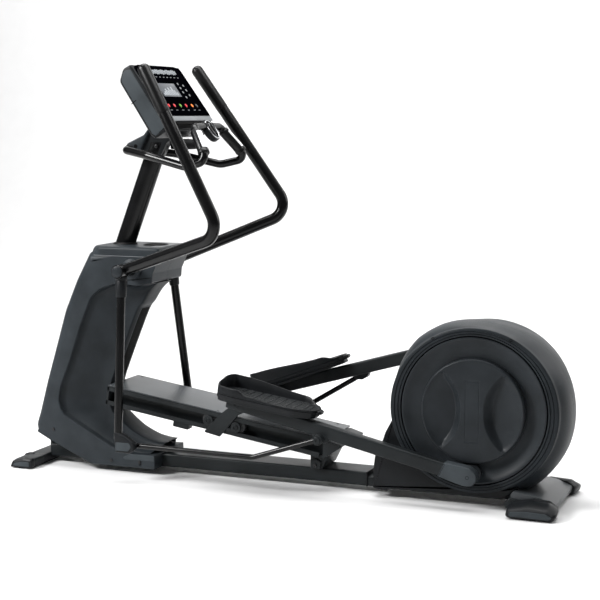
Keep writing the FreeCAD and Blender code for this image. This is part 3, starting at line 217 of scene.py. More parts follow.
def inward(loop):
    """Unit inward normals of a closed outline."""
    total = len(loop)
    area = sum(loop[i - 1].x * loop[i].y - loop[i].x * loop[i - 1].y for i in range(total))
    sign = 1 if area > 0 else -1
    out = []
    for i in range(total):
        along = (loop[(i + 1) % total] - loop[i - 1])
        out.append(Vector((-along.y, along.x)).normalized() * sign)
    return out


def link(name, data):
    obj = bpy.data.objects.new(name, data)
    bpy.context.scene.collection.objects.link(obj)
    return obj


class Piece:
    """Collects the faces of one piece, in millimetres, and turns them into one object."""

    def __init__(self, name, *materials, to=None):
        self.name, self.materials = name, [M[m] for m in materials]
        self.to = to or Matrix.Identity(4)
        self.points, self.faces, self.marks = [], [], []

    def add(self, points, faces, mark=0):
        base = len(self.points)
        self.points += [tuple(p) for p in points]
        self.faces += [[base + i for i in f] for f in faces]
        self.marks += [mark] * len(faces)

    def rings(self, rings, mark=0, closed=True, caps=(True, True)):
        """Skin a row of equal rings of points."""
        size = len(rings[0])
        faces = []
        for r in range(len(rings) - 1):
            for i in range(size if closed else size - 1):
                j = (i + 1) % size
                faces.append([r * size + i, r * size + j, (r + 1) * size + j, (r + 1) * size + i])
        if caps[0]:
            faces.append(list(range(size)))
        if caps[1]:
            faces.append([(len(rings) - 1) * size + i for i in reversed(range(size))])
        self.add([p for ring in rings for p in ring], faces, mark)

    def slab(self, loop, low, high, soft_low=0.0, soft_high=0.0, to=None, axis="Y", mark=0, steps=5,
             caps=(True, True)):
        """An outline given thickness between two distances, with its rims rounded."""
        to = to or self.to
        normals = inward(loop)
        way = 1 if high > low else -1
        radii = [[r] * len(loop) if isinstance(r, (int, float)) else r for r in (soft_low, soft_high)]

        def ring(radius, angle, end, direction):
            out = []
            for p, n, r in zip(loop, normals, radius):
                q = p + n * (r * (1 - sin(angle)))
                w = end + direction * r * (1 - cos(angle))
                out.append(to @ (Vector((q.x, w, q.y)) if axis == "Y" else
                                 Vector((q.x, q.y, w)) if axis == "Z" else Vector((w, q.x, q.y))))
            return out

        lows, highs = [[ring(radius, a, end, direction)
                        for a in (quarter(steps) if max(radius) > 0 else [pi / 2])]
                       for radius, end, direction in zip(radii, (low, high), (way, -way))]
        self.rings(lows + highs[::-1], mark, caps=caps)

    def plate(self, corners, step, *args, **options):
        """A slab whose outline is given by its corners."""
        self.slab(arc_loop(corners, step), *args, **options)

    def boss(self, x, y, z, side, profile, **options):
        """A profile turned about a line that runs outwards across the machine."""
        self.turned((x, side * y, z), (0, side, 0), profile, **options)

    def turned(self, origin, axis, profile, mark=0, seg=48, to=None):
        """A profile of (distance along, radius) turned about an axis."""
        to = to or self.to
        axis = Vector(axis).normalized()
        side = axis.orthogonal().normalized()
        up = axis.cross(side)
        rings = [[to @ (Vector(origin) + axis * d + (side * cos(a) + up * sin(a)) * r)
                  for a in turns(seg)] for d, r in profile]
        self.rings(rings, mark, caps=(profile[0][1] > 0.01, profile[-1][1] > 0.01))

    def pipe(self, points, bends, radius, to=None, mark=0, seg=28, ends=(0.0, 0.0)):
        """A round bar along straight runs joined by arcs; ends may be rounded over."""
        to = to or self.to
        pts = [Vector(p) for p in points]
        path = [pts[0]]
        for before, here, after, bend in zip(pts, pts[1:], pts[2:], bends):
            back, ahead = (before - here).normalized(), (after - here).normalized()
            angle = back.angle(ahead)
            reach = bend / tan(angle / 2)
            middle = (back + ahead).normalized()
            centre = here + middle * (bend / sin(angle / 2))
            first, last = here + back * reach - centre, here + ahead * reach - centre
            full = first.angle(last)
            for f in [k / 14 for k in range(15)]:
                path.append(centre + (first * sin((1 - f) * full) + last * sin(f * full))
                            / sin(full))
        path.append(pts[-1])
        tangents = [(path[min(i + 1, len(path) - 1)] - path[max(i - 1, 0)]).normalized()
                    for i in range(len(path))]
        stations = [(p, t, radius) for p, t in zip(path, tangents)]
        for end, place in ((0, 0), (1, -1)):
            if ends[end] > 0:
                p, t, _ = stations[place]
                t = -t if end == 0 else t
                base = p - t * ends[end]
                cap = [(base + t * ends[end] * sin(a), stations[place][1],
                        radius - ends[end] * (1 - cos(a))) for a in quarter(6)]
                stations = cap[::-1] + stations[1:] if end == 0 else stations[:-1] + cap
        side = stations[0][1].orthogonal().normalized()
        rings = []
        for p, t, r in stations:
            side = (side - t * side.dot(t)).normalized()
            up = t.cross(side)
            rings.append([to @ (p + (side * cos(a) + up * sin(a)) * r)
                          for a in turns(seg)])
        self.rings(rings, mark)

    def block(self, centre, size, soft, to=None, mark=0):
        """A box with rounded edges; size is along X, Y and Z."""
        to = (to or self.to) @ Matrix.Translation(centre)
        a, b = size[0] / 2, size[2] / 2
        loop = arc_loop(box(-a, -b, a, b, soft), 4)
        self.slab(loop, -size[1] / 2, size[1] / 2, soft * 0.8, soft * 0.8, to=to, mark=mark, steps=3)

    def finish(self, body, replaces, sharp=34.0):
        """Make the object, let it ride a body, and hide the CAD nodes that it stands for."""
        mesh = bpy.data.meshes.new(self.name)
        mesh.from_pydata([[c * MM for c in p] for p in self.points], [], self.faces)
        for mat in self.materials:
            mesh.materials.append(mat)
        mesh.polygons.foreach_set("material_index", self.marks)
        work = bmesh.new()
        work.from_mesh(mesh)
        bmesh.ops.remove_doubles(work, verts=work.verts, dist=2e-6)
        bmesh.ops.dissolve_degenerate(work, edges=work.edges, dist=1e-6)
        bmesh.ops.recalc_face_normals(work, faces=work.faces)
        work.to_mesh(mesh)
        work.free()
        mesh.shade_smooth()
        mesh.set_sharp_from_angle(angle=radians(sharp))
        obj = link(self.name, mesh)
        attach(obj, body)
        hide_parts(*replaces)
        return obj


def smooth(t):
    """A soft step from 0 to 1."""
    t = min(1.0, max(0.0, t))
    return t * t * (3 - 2 * t)


# ------------------------------------------------------------------ tower
# The side view of the band, as (X, Z, corner radius).
BAND = [
    (-782, 868, 22), (-472, 868, 6), (-476, 842, 12), (-499, 792, 12), (-502, 756, 8), (-564, 741, 60),
    (-660, 747, 90), (-728, 723, 60), (-769, 689, 60), (-817, 576, 300), (-871, 424, 300), (-912, 330, 200),
    (-923, 272, 60), (-914, 237, 40), (-897, 212, 40), (-789, 153, 200), (-685, 99, 90), (-600, 78, 60),
    (-500, 80, 3), (-500, 24, 3), (-784, 24, 20), (-970, 105, 20), (-1028, 134, 20), (-1040, 166, 25),
    (-1025, 210, 200), (-988, 342, 300), (-948, 470, 300), (-899, 629, 300), (-845, 752, 300),
]

# The recess, as pairs of (X, Z) points: its edge on the band, and where it ends at the back.
SCOOP = [
    ((-524, 750), (-510, 751)), ((-562, 741), (-526, 741)), ((-600, 741), (-548, 722)),
    ((-660, 745), (-566, 698)), ((-728, 723), (-585, 668)), ((-769, 689), (-609, 636)),
    ((-817, 576), (-650, 540)), ((-871, 424), (-700, 415)), ((-912, 330), (-728, 335)),
    ((-923, 272), (-735, 272)), ((-914, 237), (-725, 232)), ((-897, 212), (-706, 210)),
    ((-789, 153), (-640, 158)), ((-685, 99), (-575, 127)), ((-600, 80), (-530, 116)),
    ((-530, 80), (-492, 112)),
]


def tower_side(name, side):
    """A shroud half: a plain nose and band, and a deep recess behind the band."""
    piece = Piece("tower_side_" + name, "shroud", "scoop", "gap_and_painted_shade", "cap")
    loop = arc_loop(BAND, 7)
    nose = []
    for p in loop:
        ahead = p.x < -700 and (p.y > 760 or p.x < -700 - (868 - p.y) * 0.33 - 40)
        nose.append(40.0 if ahead and p.y > 140 else 7.0 if p.x < -520 and p.y > 30 else 2.0)
    for _ in range(6):
        nose = [(nose[i - 1] + 2 * nose[i] + nose[(i + 1) % len(nose)]) / 4 for i in range(len(nose))]
    piece.slab(loop, side * 0.4, side * 130, 0.0, nose, steps=8)
    rim, rear = (spline(line, 6) for line in zip(*SCOOP))
    rows = []
    for k in range(25):
        t = k / 24
        row = []
        for a, b in zip(rim, rear):
            p = a.lerp(b, t)
            depth = 124 - 14 * smooth(t / 0.07) - 46 * smooth((t - 0.02) / 0.9) - 4 * t
            row.append(Vector((p.x, side * depth, p.y)))
        rows.append(row)
    outs = [(b - a).normalized() for a, b in zip(rim, rear)]
    for a in quarter(10)[1:]:
        rows.append([Vector((b.x + out.x * 10 * sin(a), side * (60 * cos(a) ** 0.8 + 0.3),
                             b.y + out.y * 10 * sin(a))) for b, out in zip(rear, outs)])
    piece.rings(rows, 1, closed=False, caps=OPEN)
    # A near-black strip down the middle of the tower's rear face is painted shade, standing for the shade on
    # that rear-facing face; beside it runs a narrow strip of the lighter cap plastic.
    inset = [(b, out) for b, out in zip(rear, outs) if 350 < b.y < 650]
    for near, far, lift, mark in ((0.0, 36.0, 0.9, 2), (36.0, 40.0, 2.2, 3)):
        rows = []
        for k in range(6):
            y = near + (far - near) * k / 5
            reach = 10 * sin(acos((y / 60) ** 1.25)) + lift
            rows.append([Vector((b.x + out.x * reach, side * (y + 0.2), b.y + out.y * reach))
                         for b, out in inset])
        piece.rings(rows, mark, closed=False, caps=OPEN)
    lean = degrees(atan2(21, 150))
    piece.block((0, 0, 0), (150, 1.2, 2.0), 0.5, mark=2, to=at(-578, side * 129.8, 766, lean))
    piece.plate([(-640, 62, 4), (-608, 77, 6), (-502, 79, 2), (-502, 56, 2), (-630, 55, 6)], 4,
               side * 129, side * 130.8, 0, 0.8, mark=3)
    piece.boss(-564, 129, 38, side, [(0, 5), (1.6, 5), (1.6, 3), (0.4, 2.6)], mark=2, seg=20)
    piece.finish("frame", [name + "_shroud"])


def deck():
    """The tower's lid, with the bottle well, a ledge plate and the mast's collar."""
    piece = Piece("tower_deck", "shroud", "rubber", "gap_and_painted_shade", "ledge", "deck_metal")
    lid = [(-783, -90, 40), (-744, -130.8, 40), (-471.4, -130.8, 12), (-471.4, 130.8, 12), (-744, 130.8, 40),
           (-783, 90, 40)]
    loop = arc_loop(lid, 5)
    normals = inward(loop)
    rings = []
    for z, inset in ((856.6, 1.2), (857.4, 0.2), (868, 0), (880, 0), (885, 1.2), (888.6, 3.8), (890.6, 7.6),
                     (891, 12)):
        rings.append([(p.x + n.x * inset - (868 - z) * 0.5 * smooth((-700 - p.x) / 60), p.y + n.y * inset, z)
                      for p, n in zip(loop, normals)])
    piece.rings(rings, caps=(False, True))
    # A thin ring of the light-grey ledge plastic just under the lid's rim is a painted highlight: it stands
    # for the light line along this seam.
    seam = [(p.x + n.x * 0.4 - 6 * smooth((-700 - p.x) / 60), p.y + n.y * 0.4) for p, n in zip(loop, normals)]
    piece.rings([[(x, y, z) for x, y in seam] for z in (854.6, 856.6)], 3, caps=OPEN)
    piece.plate(box(-528, -96, -480, 96, 12), 5, 890.6, 892.2, 0, 1.2,
               axis="Z", mark=4)
    piece.turned((-548, 0, 0), (0, 0, 1), [(889, 50), (893.5, 49), (894.5, 46), (893.5, 43), (880, 40)],
                 mark=1, seg=64)
    piece.turned((-548, 0, 0), (0, 0, 1), [(892.4, 41), (892.3, 0.02)], mark=2, seg=64)
    collar = []
    for z, grow in ((889, 9), (893, 8.5), (897, 6), (899, 2), (899, -1)):
        collar.append([Vector((mast_x(z) + (42 + grow) * cos(a), (29 + grow) * sin(a), z))
                       for a in turns(60)])
    piece.rings(collar, 1, caps=OPEN)
    piece.finish("frame", ["shroud_deck"])


def rocker_bearings():
    piece = Piece("rocker_axle_covers", "shroud", "steel")
    for side in (-1, 1):
        piece.boss(PIVOT[0], 130.6, PIVOT[1], side,
                   [(0, 40), (6, 40), (10, 38.5), (12, 35), (12.2, 32), (13.6, 30), (14.4, 26), (14.6, 14)],
                   seg=56)
        piece.boss(PIVOT[0], 120, PIVOT[1], side, [(0, 12), (132, 12)], mark=1, seg=32)
    piece.finish("frame", ["rocker_axle"])


def mast_x(z):
    return MAST_FOOT[0] + (z - MAST_FOOT[1]) * MAST_SLOPE


def mast():
    piece = Piece("mast_tube", "tube", "bolt")
    piece.rings([[Vector((mast_x(z) + 42 * copysign(abs(cos(a)) ** 0.9, cos(a)),
                          29 * copysign(abs(sin(a)) ** 0.95, sin(a)), z)) for a in turns(64)]
                 for z in [868 + 12.1 * k for k in range(36)]])
    for side in (-1, 1):
        piece.boss(-528, 28.6, 1276, side, [(0, 7), (2.4, 6.6), (3, 5), (3, 2.6), (1.6, 2.4)],
                     mark=1, seg=24)
    piece.finish("frame", ["mast"])


# ------------------------------------------------------------------ base
def base():
    piece = Piece("base_weldment", "frame", "trim")
    piece.plate(box(-62, 22, 62, 74, 7), 3, -1003, 348, 1, 2, axis="X")
    piece.block((350, 0, 48), (6, 128, 56), 2, mark=1)
    piece.plate(box(-60, 22, 60, 58, 5), 3, 353, 930, 1, 1, axis="X")
    plate = [(500, 58, 4), (882, 58, 4), (822, 396, 30), (722, 396, 30), (540, 286, 30), (500, 226, 20)]
    for side in (-1, 1):
        piece.plate(plate, 6, side * 50, side * 60, 1, 1)
    piece.finish("frame", ["base_frame"])


def front_bar():
    """The cross bar, notched at its front for the two wheels."""
    piece = Piece("front_cross_bar", "frame")
    section = [(-1100, 4, 5), (-1003, 4, 3), (-1003, 38, 7), (-1088, 34, 12)]
    for low, high in ((-190, -117), (-89, 89), (117, 190)):
        piece.plate(section, 3, low, high, 0.4, 0.4)
    inner = [(-1058, 4, 2), (-1003, 4, 2), (-1003, 38, 5), (-1058, 36, 3)]
    for low, high in ((-117, -89), (89, 117)):
        piece.plate(inner, 3, low, high, 0, 0)
    piece.block((-1010, 0, 62), (14, 90, 50), 4)
    piece.block((-1002, 0, 84), (40, 70, 10), 3)
    piece.finish("frame", ["front_stabilizer"])


def front_caps():
    piece = Piece("front_cross_bar_caps", "trim", "cap")
    for side in (-1, 1):
        rings = []
        for y, grow, drop in ((190.4, -1.5, 0), (191.6, 0, 0), (196, 1.6, 0), (212, 1.8, 3), (217, 0.6, 7),
                              (219, -2.5, 11)):
            top = 41 + grow - drop
            section = arc_loop([(-1099, 4, 7), (-1002 + grow, 4, 5), (-1002 + grow, top, 8),
                                (-1040, top + 1, 14), (-1090, 30 + grow - drop, 12)], 3)
            rings.append(across(resample(section, 60), side * y))
        piece.rings(rings)
        face = [(-1086, 10, 5), (-1012, 10, 5), (-1011, 28, 5), (-1044, 29, 8), (-1080, 20, 8)]
        piece.plate(face, 3, side * 217, side * 220.4, 0, 0.8, mark=1)
    piece.finish("frame", ["front_end_caps"])


def rear_bar():
    piece = Piece("rear_cross_bar", "deck_metal")
    section = [(918, 16, 4), (1074, 16, 6), (1079, 40, 9), (1022, 62, 60), (928, 76, 8), (916, 66, 8)]
    piece.plate(section, 4, -149.5, 149.5, 1, 1)
    piece.finish("frame", ["rear_stabilizer"])


def rear_caps():
    """Wing feet: a collar on the cross bar, a ridged dark top and a lighter inset end face."""
    piece = Piece("rear_cross_bar_feet", "trim", "cap", "frame")
    for side in (-1, 1):
        rings = []
        for y, x0, x1, top, ridge in (
                (150, 926, 1082, 55, 0.5), (152, 922, 1088, 60, 0.5), (160, 920, 1092, 62, 0.5),
                (170, 918, 1094, 57, 0.46), (180, 916, 1096, 60, 0.42), (204, 914, 1098, 56, 0.4),
                (226, 915, 1098, 47, 0.38), (236, 917, 1096, 40, 0.36), (242, 922, 1090, 33, 0.36)):
            wide = x1 - x0
            loop = arc_loop([(x0, 6, 8), (x1 - 8, 6, 8), (x1, 6 + (top - 6) * 0.55, 10),
                             (x1 - 0.18 * wide, top - 4, 14), (x0 + ridge * wide, top, 10),
                             (x0 + 6, 6 + (top - 6) * 0.72, 10)], 4)
            rings.append(across(resample(loop, 90), side * y))
        piece.rings(rings)
        face = [(930, 11, 8), (1074, 10, 14), (1084, 20, 8), (1060, 30, 12), (988, 33, 20), (934, 27, 10)]
        piece.plate(face, 4, side * 239, side * 244.6, 0, 1.6, mark=1)
        lug = [(896, 14, 12), (950, 14, 6), (950, 50, 8), (912, 54, 14), (898, 38, 12)]
        piece.plate(lug, 4, side * 100, side * 158, 3, 5, mark=2)
    piece.finish("frame", ["rear_end_caps"])


def resample(loop, count):
    """Evenly spaced points on a closed outline, starting at its lowest-left point."""
    start = min(range(len(loop)), key=lambda i: loop[i].x + loop[i].y)
    pts = [Vector(p) for p in loop[start:] + loop[:start]]
    pts.append(pts[0])
    lengths = [0.0]
    for a, b in zip(pts, pts[1:]):
        lengths.append(lengths[-1] + (b - a).length)
    out, j = [], 0
    for k in range(count):
        want = lengths[-1] * k / count
        while lengths[j + 1] < want:
            j += 1
        f = (want - lengths[j]) / max(1e-9, lengths[j + 1] - lengths[j])
        out.append(pts[j].lerp(pts[j + 1], f))
    return out


# ------------------------------------------------------------------ drive housing, discs and hub covers
def swell(angle):
    """How far the housing stands out beyond its rim, by the angle above the rear."""
    steps = [(-95, 10), (-75, 24), (-50, 32), (-24, 29), (0, 20), (20, 15), (38, 8), (52, 1), (66, -8),
             (82, -11), (100, -3), (118, 13), (134, 21), (152, 18), (175, 8), (200, 4), (265, 10)]
    return float(np.interp(angle, *zip(*steps)))


def housing_side(name, side):
    """A drum half as rings of (Y, radius, share of the swell, share of the ovalness), and its skirt."""
    piece = Piece("drive_housing_" + name, "scoop", "gap_and_painted_shade", "trim")
    profile = [(0.4, 313, 1, 0), (25, 312.8, 1, 0), (50, 311.6, 0.98, 0), (75, 309, 0.88, 0),
               (95, 306.5, 0.68, 0.1), (108, 304.5, 0.42, 0.3), (117, 303, 0.16, 0.7), (121, 302.5, 0.03, 1),
               (130, 302.5, 0, 1), (135, 301.5, 0, 1), (137.2, 298.5, 0, 1), (138, 295, 0, 1),
               (138, 290, 0, 0.6), (134.8, 288.8, 0, 0.5), (134.8, 287.6, 0, 0.5),
               (137.6, 286.4, 0, 0.4), (137.6, 279.6, 0, 0.2), (133.8, 278.6, 0, 0.1),
               (133.8, 276.8, 0, 0.1), (136.8, 275.8, 0, 0), (137.2, 272.4, 0, 0), (136, 270.2, 0, 0),
               (128, 269.4, 0, 0), (111, 269, 0, 0), (110, 244, 0, 0)]
    rings = []
    for y, radius, out, oval in profile:
        ring = []
        for k in range(240):
            turn = 360 * k / 240 - 90
            a = radians(turn)
            grown = radius + out * swell(turn)
            ring.append(Vector((CRANK[0] + (grown + 7 * oval) * cos(a), side * y,
                                CRANK[1] + (grown - 4 * oval) * sin(a))))
        rings.append(ring)
    piece.rings(rings, caps=OPEN)
    skirt = [(504, 226, 30), (470, 305, 6), (439, 246, 40), (426, 206, 40), (403, 178, 26), (394, 110, 30),
             (392, 34, 4), (880, 34, 40), (962, 96, 60), (890, 76, 60), (650, 76, 60), (540, 160, 60)]
    loop = arc_loop(skirt, 6)
    piece.slab(loop, side * 60.5, side * 122, 0, 8, mark=2, caps=(False, True))
    front = spline([(476, 312), (452, 268), (431, 216), (408, 184), (398, 150), (394, 105), (392, 34)], 8)
    rows = [[Vector((p.x + back, side * y, p.y - drop)) for p in front] for back, y, drop in (
        (0, 0.4, 0), (0, 40, 0), (0, 80, 0), (0, 112, 0), (2, 118, 0), (9, 121.6, 0), (60, 122, 6))]
    piece.rings(rows, 2, closed=False, caps=OPEN)
    for x, z in ((621, 605), (905, 613)):
        piece.boss(x, 136.6, z, side, [(0, 5.5), (1.9, 5.5), (1.9, 3.4), (0.6, 3.2)],
                     mark=1, seg=20)
    piece.finish("frame", [name + "_housing_shell"], sharp=40)


def crank_disc(name, side):
    piece = Piece("crank_disc_" + name, "disc")
    profile = [(112, 255), (112, 265.4), (134.5, 265.4), (137.0, 264.8), (138, 262.4), (136.6, 258),
               (132.5, 250), (127, 239), (122.4, 226), (119.6, 213), (118.4, 200), (118, 190), (118, 176)]
    piece.boss(CRANK[0], 0, CRANK[1], side, profile, seg=200)
    pin = CRANK[1] + side * THROW
    piece.boss(CRANK[0], 122, pin, side, [(0, 34), (14, 33), (16.4, 30), (16.6, 14), (42, 12)],
                 seg=40)
    piece.finish("cranks", [name + "_crank_disc"], sharp=50)


def scoop_depth(u, v):
    """Depth of a hub cover's crescent at a place given in cover radii, from 0 to 1."""
    if abs(v) >= 0.72:
        return 0.0
    inner = 0.215 + 0.34 * (abs(v) / 0.72) ** 2.4
    outer = sqrt(0.965 ** 2 - v * v)
    a = abs(u) - inner
    w = outer - inner
    if a <= 0 or a >= w:
        return 0.0
    wall = min(1.0, a / min(0.15, 0.45 * w))
    return (0.7 * wall + 0.3 * smooth(wall)) * (1 - a / w) ** 0.7 * (1 - (v / 0.72) ** 2) ** 0.4


def hub_covers():
    piece = Piece("hub_cover_pair", "disc")
    R = COVER_RADIUS
    for side in (-1, 1):
        rings = []
        for k in range(109):
            r = R * (k / 108)
            ring = []
            for a in turns(336):
                u, v = r / R * cos(a), r / R * sin(a)
                y = 152 - 36 * scoop_depth(u, v) - 3.0 * (r / R) ** 2
                groove = max(abs(u) / 0.135, abs(v) / 0.60)
                if 0.93 < groove < 1.0 and abs(v) < 0.61:
                    y -= 0.9
                if r > R - 8:
                    y -= 8 * (1 - sqrt(max(0.0, 1 - ((r - R + 8) / 8) ** 2)))
                ring.append(Vector((CRANK[0] + r * cos(a), side * y, CRANK[1] + r * sin(a))))
            rings.append(ring)
        rings += [[Vector((p.x, side * y, p.z)) for p in ring] for y in (130, 116)]
        piece.rings(rings, caps=OPEN)
    piece.finish("cranks", ["hub_covers"], sharp=38)


# ------------------------------------------------------------------ ramp
def ramp():
    to = at(RAMP_START[0], 0, RAMP_START[1], -RAMP_DIP)
    channels = Piece("ramp_channels", "frame", "gap_and_painted_shade", to=to)
    for side in (-1, 1):
        channel = [(78, 0), (128, 0), (128, -17), (123, -17), (123, -5), (83, -5), (83, -68), (123, -68),
                   (123, -56), (128, -56), (128, -73), (78, -73)]
        channels.slab([Vector((side * y, z)) for y, z in channel], 0, 906, axis="X")
        channels.block((5, side * 103, -36.5), (10, 50, 73), 2)
        # Painted shade: the channel's front end is closed, and this near-black block on it stands for the
        # dark inside of the channel's opening.
        channels.block((-1, side * 103, -36.5), (4, 26, 42), 1, mark=1)
        channels.block((330, side * 103, -84), (66, 40, 24), 4)
    channels.block((4, 0, -36.5), (8, 158, 73), 1)
    channels.block((-22, 0, -44), (58, 60, 32), 2)
    channels.finish("frame", ["ramp_frame"], sharp=30)
    cover = Piece("ramp_cover_plate", "deck_metal", to=to)
    cover.plate([(2, 0.3, 1), (932, 0.3, 1), (932, 5.2, 1.5), (2, 5.2, 1.5)], 3, -125, 125, 1.2, 1.2)
    for side in (-1, 1):
        for x in (30, 470, 885):
            cover.turned((x, side * 108, 5), (0, 0, 1), [(0, 6), (1.2, 5.4), (1.4, 2.4), (0.4, 2.2)], seg=20)
    cover.finish("frame", ["ramp_cover"])
    rear = Piece("ramp_rear_wedge", "frame", "bolt")
    rear.plate([(196, 124, 3), (248, 160, 6), (279, 180, 5), (222, 197, 6), (196, 197, 2)], 4,
              -124, 124, 3, 3)
    rear.plate([(130, 74.2, 2), (176, 74.2, 2), (205, 132, 10), (205, 188, 3), (140, 188, 3), (130, 130, 10)],
               4, -76, 76, 2, 2)
    for side in (-1, 1):
        rear.plate([(134, 74.5, 3), (172, 74.5, 6), (174, 104, 10), (150, 116, 14), (136, 104, 8)], 4,
                  side * 76, side * 84, 0.5, 2)
        rear.boss(152, 84, 88, side, [(0, 8), (4, 8), (5, 6.8), (5, 3.6), (3, 3.4)], mark=1, seg=6)
    rear.finish("frame", ["ramp_rear_bracket"])


# ------------------------------------------------------------------ moving train
def roller_at(x):
    """Height of a roller's axle below the arm's pivot, inside the ramp's channel."""
    slope = tan(radians(RAMP_DIP))
    return -74 - 36.5 / cos(radians(RAMP_DIP)) - slope * x


def carriage(name, side):
    x, z, _ = ARM[name]
    piece = Piece("carriage_plate_" + name, "frame", "steel", to=at(x, 0, z))
    r1, r2 = (roller_at(px) for px in ROLLERS.values())
    strap = [(-168, r1 - 44, 5), (-100, r1 - 58, 5), (-24, r1 + 30, 6), (14, -40, 12), (19, 4, 12),
             (6, 19, 12), (-14, 15, 12), (-26, -2, 12), (-92, r1 + 34, 6)]
    piece.plate(strap, 4, side * 131, side * 137, 0.4, 1.6)
    for px, pz in ((-148, r1), (-34, r2)):
        lobe = [(px + u, pz + v, 19.9) for u, v in ((-20, -20), (20, -20), (20, 20), (-20, 20))]
        piece.plate(lobe, 3, side * 131.2, side * 136.2, 0.4, 1.6)
        piece.boss(px, 88, pz, side, [(0, 8), (44, 8)], mark=1, seg=28)
        piece.boss(px, 136, pz, side, [(0, 10), (2, 10), (3, 8.8), (3, 7.4), (1.2, 7), (1.2, 4.6), (2.6, 4.2),
                                       (2.6, 0.02)], seg=32)
    tie = [(-158, r1 - 20, 8), (-34, r2 - 20, 8), (-34, r2 - 8, 6), (-158, r1 - 8, 6)]
    piece.plate(tie, 4, side * 131.4, side * 135.8, 0.4, 1.2)
    piece.boss(0, 137, 0, side, [(0, 17), (28.6, 16), (29, 10), (69, 9.9)], seg=40)
    piece.finish(name + "_carriage", [name + "_carriage"])


def rollers(name, side):
    x, z, _ = ARM[name]
    for end, px in ROLLERS.items():
        part = "%s_%s" % (name, end)
        piece = Piece(part + "_ramp_roller", "nylon", to=at(x, 0, z))
        piece.boss(px, 90, roller_at(px), side, [(0, 8.1), (0, 29.6), (1.6, 31.1), (26.4, 31.1), (28, 29.6),
                                                 (28, 17), (27, 16), (27, 8.1)], seg=72)
        piece.finish(part + "_roller", [part + "_roller"])


def pedal_arm(name, side):
    x, z, rise = ARM[name]
    piece = Piece("crank_arm_" + name, "frame", "cap", "gap_and_painted_shade", to=at(x, 0, z, rise))
    piece.plate(box(side * 167, -25, side * 207, 25, 7), 3, -40, 822, 3, 1, axis="X")
    nose = [(806, -28, 3), (890, -34, 10), (912, -34, 30), (945, -20, 30), (945, 20, 30), (912, 34, 30),
            (890, 34, 10), (820, 28, 3)]
    piece.plate(nose, 5, side * 166, side * 208.6, 3, 5, mark=1)
    piece.boss(912, 208.4, 0, side, [(0, 6.5), (0.6, 6.5), (0.7, 5.2), (-0.6, 5.0), (-0.6, 0.02)],
               mark=2, seg=28)
    lug = [(311, -22, 10), (330, -40, 16), (351, -46, 18), (372, -40, 16), (391, -22, 10), (351, -10, 4)]
    piece.plate(lug, 4, side * 181, side * 208, 2, 2)
    piece.boss(0, 206.6, 0, side, [(0, 15), (2, 15), (3, 13.6), (3, 6), (1.4, 5.6)], seg=32)
    piece.finish(name + "_arm", [name + "_pedal_arm"])


def pedal(name, side):
    """Foot tray: a stepped base, a tall inner wall, a low outer lip behind the toes, and a ribbed insert."""
    x, z, rise = ARM[name]
    to = at(x, 0, z, rise + PEDAL_LIFT)
    piece = Piece("foot_tray_" + name, "trim", "tread", "frame", to=to)
    mid = side * 173.0
    half = 82.0
    plan = [(-81, -34, 60), (-66, -74, 60), (0, -half, 100), (240, -half, 60), (304, -50, 20), (318, -22, 8),
            (318, 22, 8), (304, 50, 20), (240, half, 60), (0, half, 100), (-66, 74, 60), (-81, 34, 60)]
    loop = resample(arc_loop(plan, 4), 240)
    inner = inward(loop)

    def rim_top(p):
        toe = 1 - smooth((p.x + 62) / 40)
        inside = 86 - 24 * smooth((p.x + 40) / 300) - 19 * smooth((p.x - 246) / 50)
        outside = 66 - 17 * smooth((p.x - 16) / 36) - 6 * smooth((p.x - 60) / 120)
        share = smooth((side * p.y + 74) / 148)
        return 43 + (1 - share) * (inside - 43) + share * (outside - 43) + 2 * toe

    def ring(inset, height):
        out = []
        for p, n in zip(loop, inner):
            q = p + n * inset
            w = height(p) if callable(height) else height
            out.append(to @ Vector((q.x, mid + q.y, w)))
        return out

    def under(drop):
        return lambda p: rim_top(p) - drop

    piece.rings([ring(inset, height) for inset, height in (
        (12, 10), (7, 10.2), (5, 12), (5, 21), (4, 22.4), (1.6, 23), (0.6, 24.6), (0.4, 34), (2.6, 35.4),
        (2.6, 36.8), (0.6, 38), (0.6, lambda p: 38 + 0.6 * (rim_top(p) - 38)), (0.6, under(2.6)),
        (1.6, under(0.7)), (3.2, rim_top), (5.2, under(0.5)), (6.6, under(2.6)),
        (7.4, lambda p: 39 + 0.3 * (rim_top(p) - 39)), (9, 39), (12, 38.2))])
    for row in range(-9, 10):
        y = row * 7.0
        low, high = -56 + 0.004 * y * y, 290 - 0.9 * max(0, abs(y) - 26)
        piece.block(((low + high) / 2, mid + y, 38.6), (high - low, 3.4, 2.8), 1.0, mark=1)
    for turn in range(9):
        piece.block((2 + turn * 33, mid, 39.6), (4.6, 124 - 2 * turn, 3.8), 1.4, mark=1)
    for lean in (-1, 1):
        centre = Vector((-22, mid + lean * 26, 0))
        turned = to @ Matrix.Translation(centre) @ Matrix.Rotation(lean * 0.5, 4, "Z")
        piece.block((-22, mid + lean * 26, 40.4), (62, 5, 4.4), 1.6, mark=1,
                    to=turned @ Matrix.Translation(-centre))
    piece.block((40, side * 187, 12), (190, 44, 12), 3, mark=2)
    piece.block((319, mid, 31), (16, 46, 16), 5)
    piece.block((329, mid, 32), (6, 30, 12), 3)
    piece.finish(name + "_arm", [name + "_pedal"], sharp=38)


def handle_line(side):
    """The handle's bend and its top end, from the rocker axle."""
    return [Vector((x, side * y, z)) for x, y, z in (HANDLE_BEND, HANDLE_TOP)]


